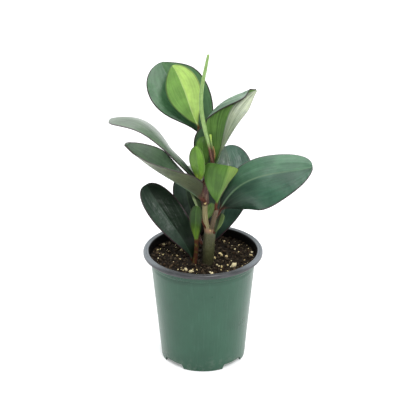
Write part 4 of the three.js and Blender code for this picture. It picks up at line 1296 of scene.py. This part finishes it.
class PEPEROMIA_OT_leaves(Step, bpy.types.Operator):
    """Lays each thick leaf along its midrib, with stalk, groove, ridge, veins and thin margin"""

    bl_idname = "peperomia.leaves"
    bl_label = "Leaves"

    def build(self, sizes, colours):
        slots = {row["node"]: row["material_slot"] for row in frame["record"]["subparts"]}
        for seed, leaf in enumerate(LEAVES):
            node = leaf["node"]
            name = node.replace("leaf_", "") + "_leaf"
            finish = leaf_finish(name + "_skin", LOOKS[node], colours, seed)
            make(name, leaf_skin(leaf, sizes, seed), finish, slots[node], node)


def studio_world():
    """White to the camera, and a soft glow from behind, from both sides and from above."""
    world = bpy.data.worlds.new("studio")
    w = Nodes(world, "Generated")
    x, y, z = w.split(w.where)
    strength = w.ramp(y, -0.2, 0.6, 0.05, 1.6)
    for way, low, high, most in ((w.math("ABSOLUTE", x), 0.55, 0.95, 0.9), (z, 0.5, 0.8, 1.1)):
        strength = w.add_up(strength, w.ramp(way, low, high, 0.0, most))
    glow = w.add("Background")
    w.put(glow.inputs["Strength"], strength)
    seen = w.add("Background")
    w.put(seen.inputs["Color"], (1, 1, 1))
    blend = w.add("MixShader")
    sources = (w.add("LightPath").outputs["Is Camera Ray"], glow.outputs[0], seen.outputs[0])
    for socket, source in zip(blend.inputs, sources):
        w.put(socket, source)
    w.put(w.add("OutputWorld").inputs[0], blend.outputs[0])
    return world


class PEPEROMIA_OT_stage(Step, bpy.types.Operator):
    """Sets the floor, the soft lights, the white backdrop and the camera"""

    bl_idname = "peperomia.stage"
    bl_label = "Stage"

    def build(self, sizes, colours):
        scene = bpy.context.scene
        select_none()
        bpy.ops.mesh.primitive_plane_add(size=8, location=(0, 0, 0))
        floor = bpy.context.object
        floor.name = "floor"
        f = Finish("pale_floor")
        colour = f.mix(f.noise(4.0, 2.0), colours.floor, (0.94, 0.94, 0.95))
        floor.data.materials.append(f.done(colour, 0.9, None, Specular_IOR_Level=0.1,
                                           Emission_Color=(1, 1, 1), Emission_Strength=0.25))

        scene.world = studio_world()
        aim = Vector(LIGHT_AIM)
        for name, (turn, rise, size, power) in LIGHTS.items():
            light = bpy.data.lights.new(name, "AREA")
            light.shape = "RECTANGLE"
            light.size, light.size_y = size
            light.energy = power
            lamp = bpy.data.objects.new(name, light)
            lamp.location = aim + LIGHT_DISTANCE * Vector(facing(turn, rise))
            lamp.rotation_euler = (aim - lamp.location).to_track_quat("-Z", "Y").to_euler()
            scene.collection.objects.link(lamp)

        lens = bpy.data.cameras.new("camera")
        camera = bpy.data.objects.new("camera", lens)
        scene.collection.objects.link(camera)
        scene.camera = camera
        lens.sensor_width = SENSOR_WIDTH
        lens.lens = FOCAL_PIXELS / PHOTO_PIXELS * lens.sensor_width
        lens.clip_start, lens.clip_end = 0.1, 20.0
        camera.location = Vector((np.array(CAMERA_PLACE) + POT_AXIS) * MM)
        camera.rotation_euler = (math.radians(90 - CAMERA_PITCH), 0, 0)
        scene.view_settings.view_transform = "Standard"


STEPS = ("pot", "soil", "stem", "spikes", "leaves", "stage")
OPERATORS = (PEPEROMIA_OT_pot, PEPEROMIA_OT_soil, PEPEROMIA_OT_stem, PEPEROMIA_OT_spikes,
             PEPEROMIA_OT_leaves, PEPEROMIA_OT_stage)


class PEPEROMIA_PT_panel(bpy.types.Panel):
    """Lists the steps of building the plant, with its sizes and colours"""

    bl_label = "Potted peperomia"
    bl_idname = "PEPEROMIA_PT_panel"
    bl_space_type = "VIEW_3D"
    bl_region_type = "UI"
    bl_category = "Peperomia"

    def draw(self, context):
        for step in OPERATORS:
            self.layout.operator(step.bl_idname)
        for group in (context.scene.peperomia_sizes, context.scene.peperomia_colours):
            box = self.layout.box()
            for name in group.__annotations__:
                box.prop(group, name)


CLASSES = (PeperomiaSizes, PeperomiaColours, *OPERATORS, PEPEROMIA_PT_panel)


def register():
    for entry in CLASSES:
        bpy.utils.register_class(entry)
    bpy.types.Scene.peperomia_sizes = bpy.props.PointerProperty(type=PeperomiaSizes)
    bpy.types.Scene.peperomia_colours = bpy.props.PointerProperty(type=PeperomiaColours)


def unregister():
    del bpy.types.Scene.peperomia_sizes
    del bpy.types.Scene.peperomia_colours
    for entry in reversed(CLASSES):
        bpy.utils.unregister_class(entry)


def main():
    """Builds every piece in order."""
    register()
    for step in STEPS:
        getattr(bpy.ops.peperomia, step)()


if __name__ == "__main__":
    main()
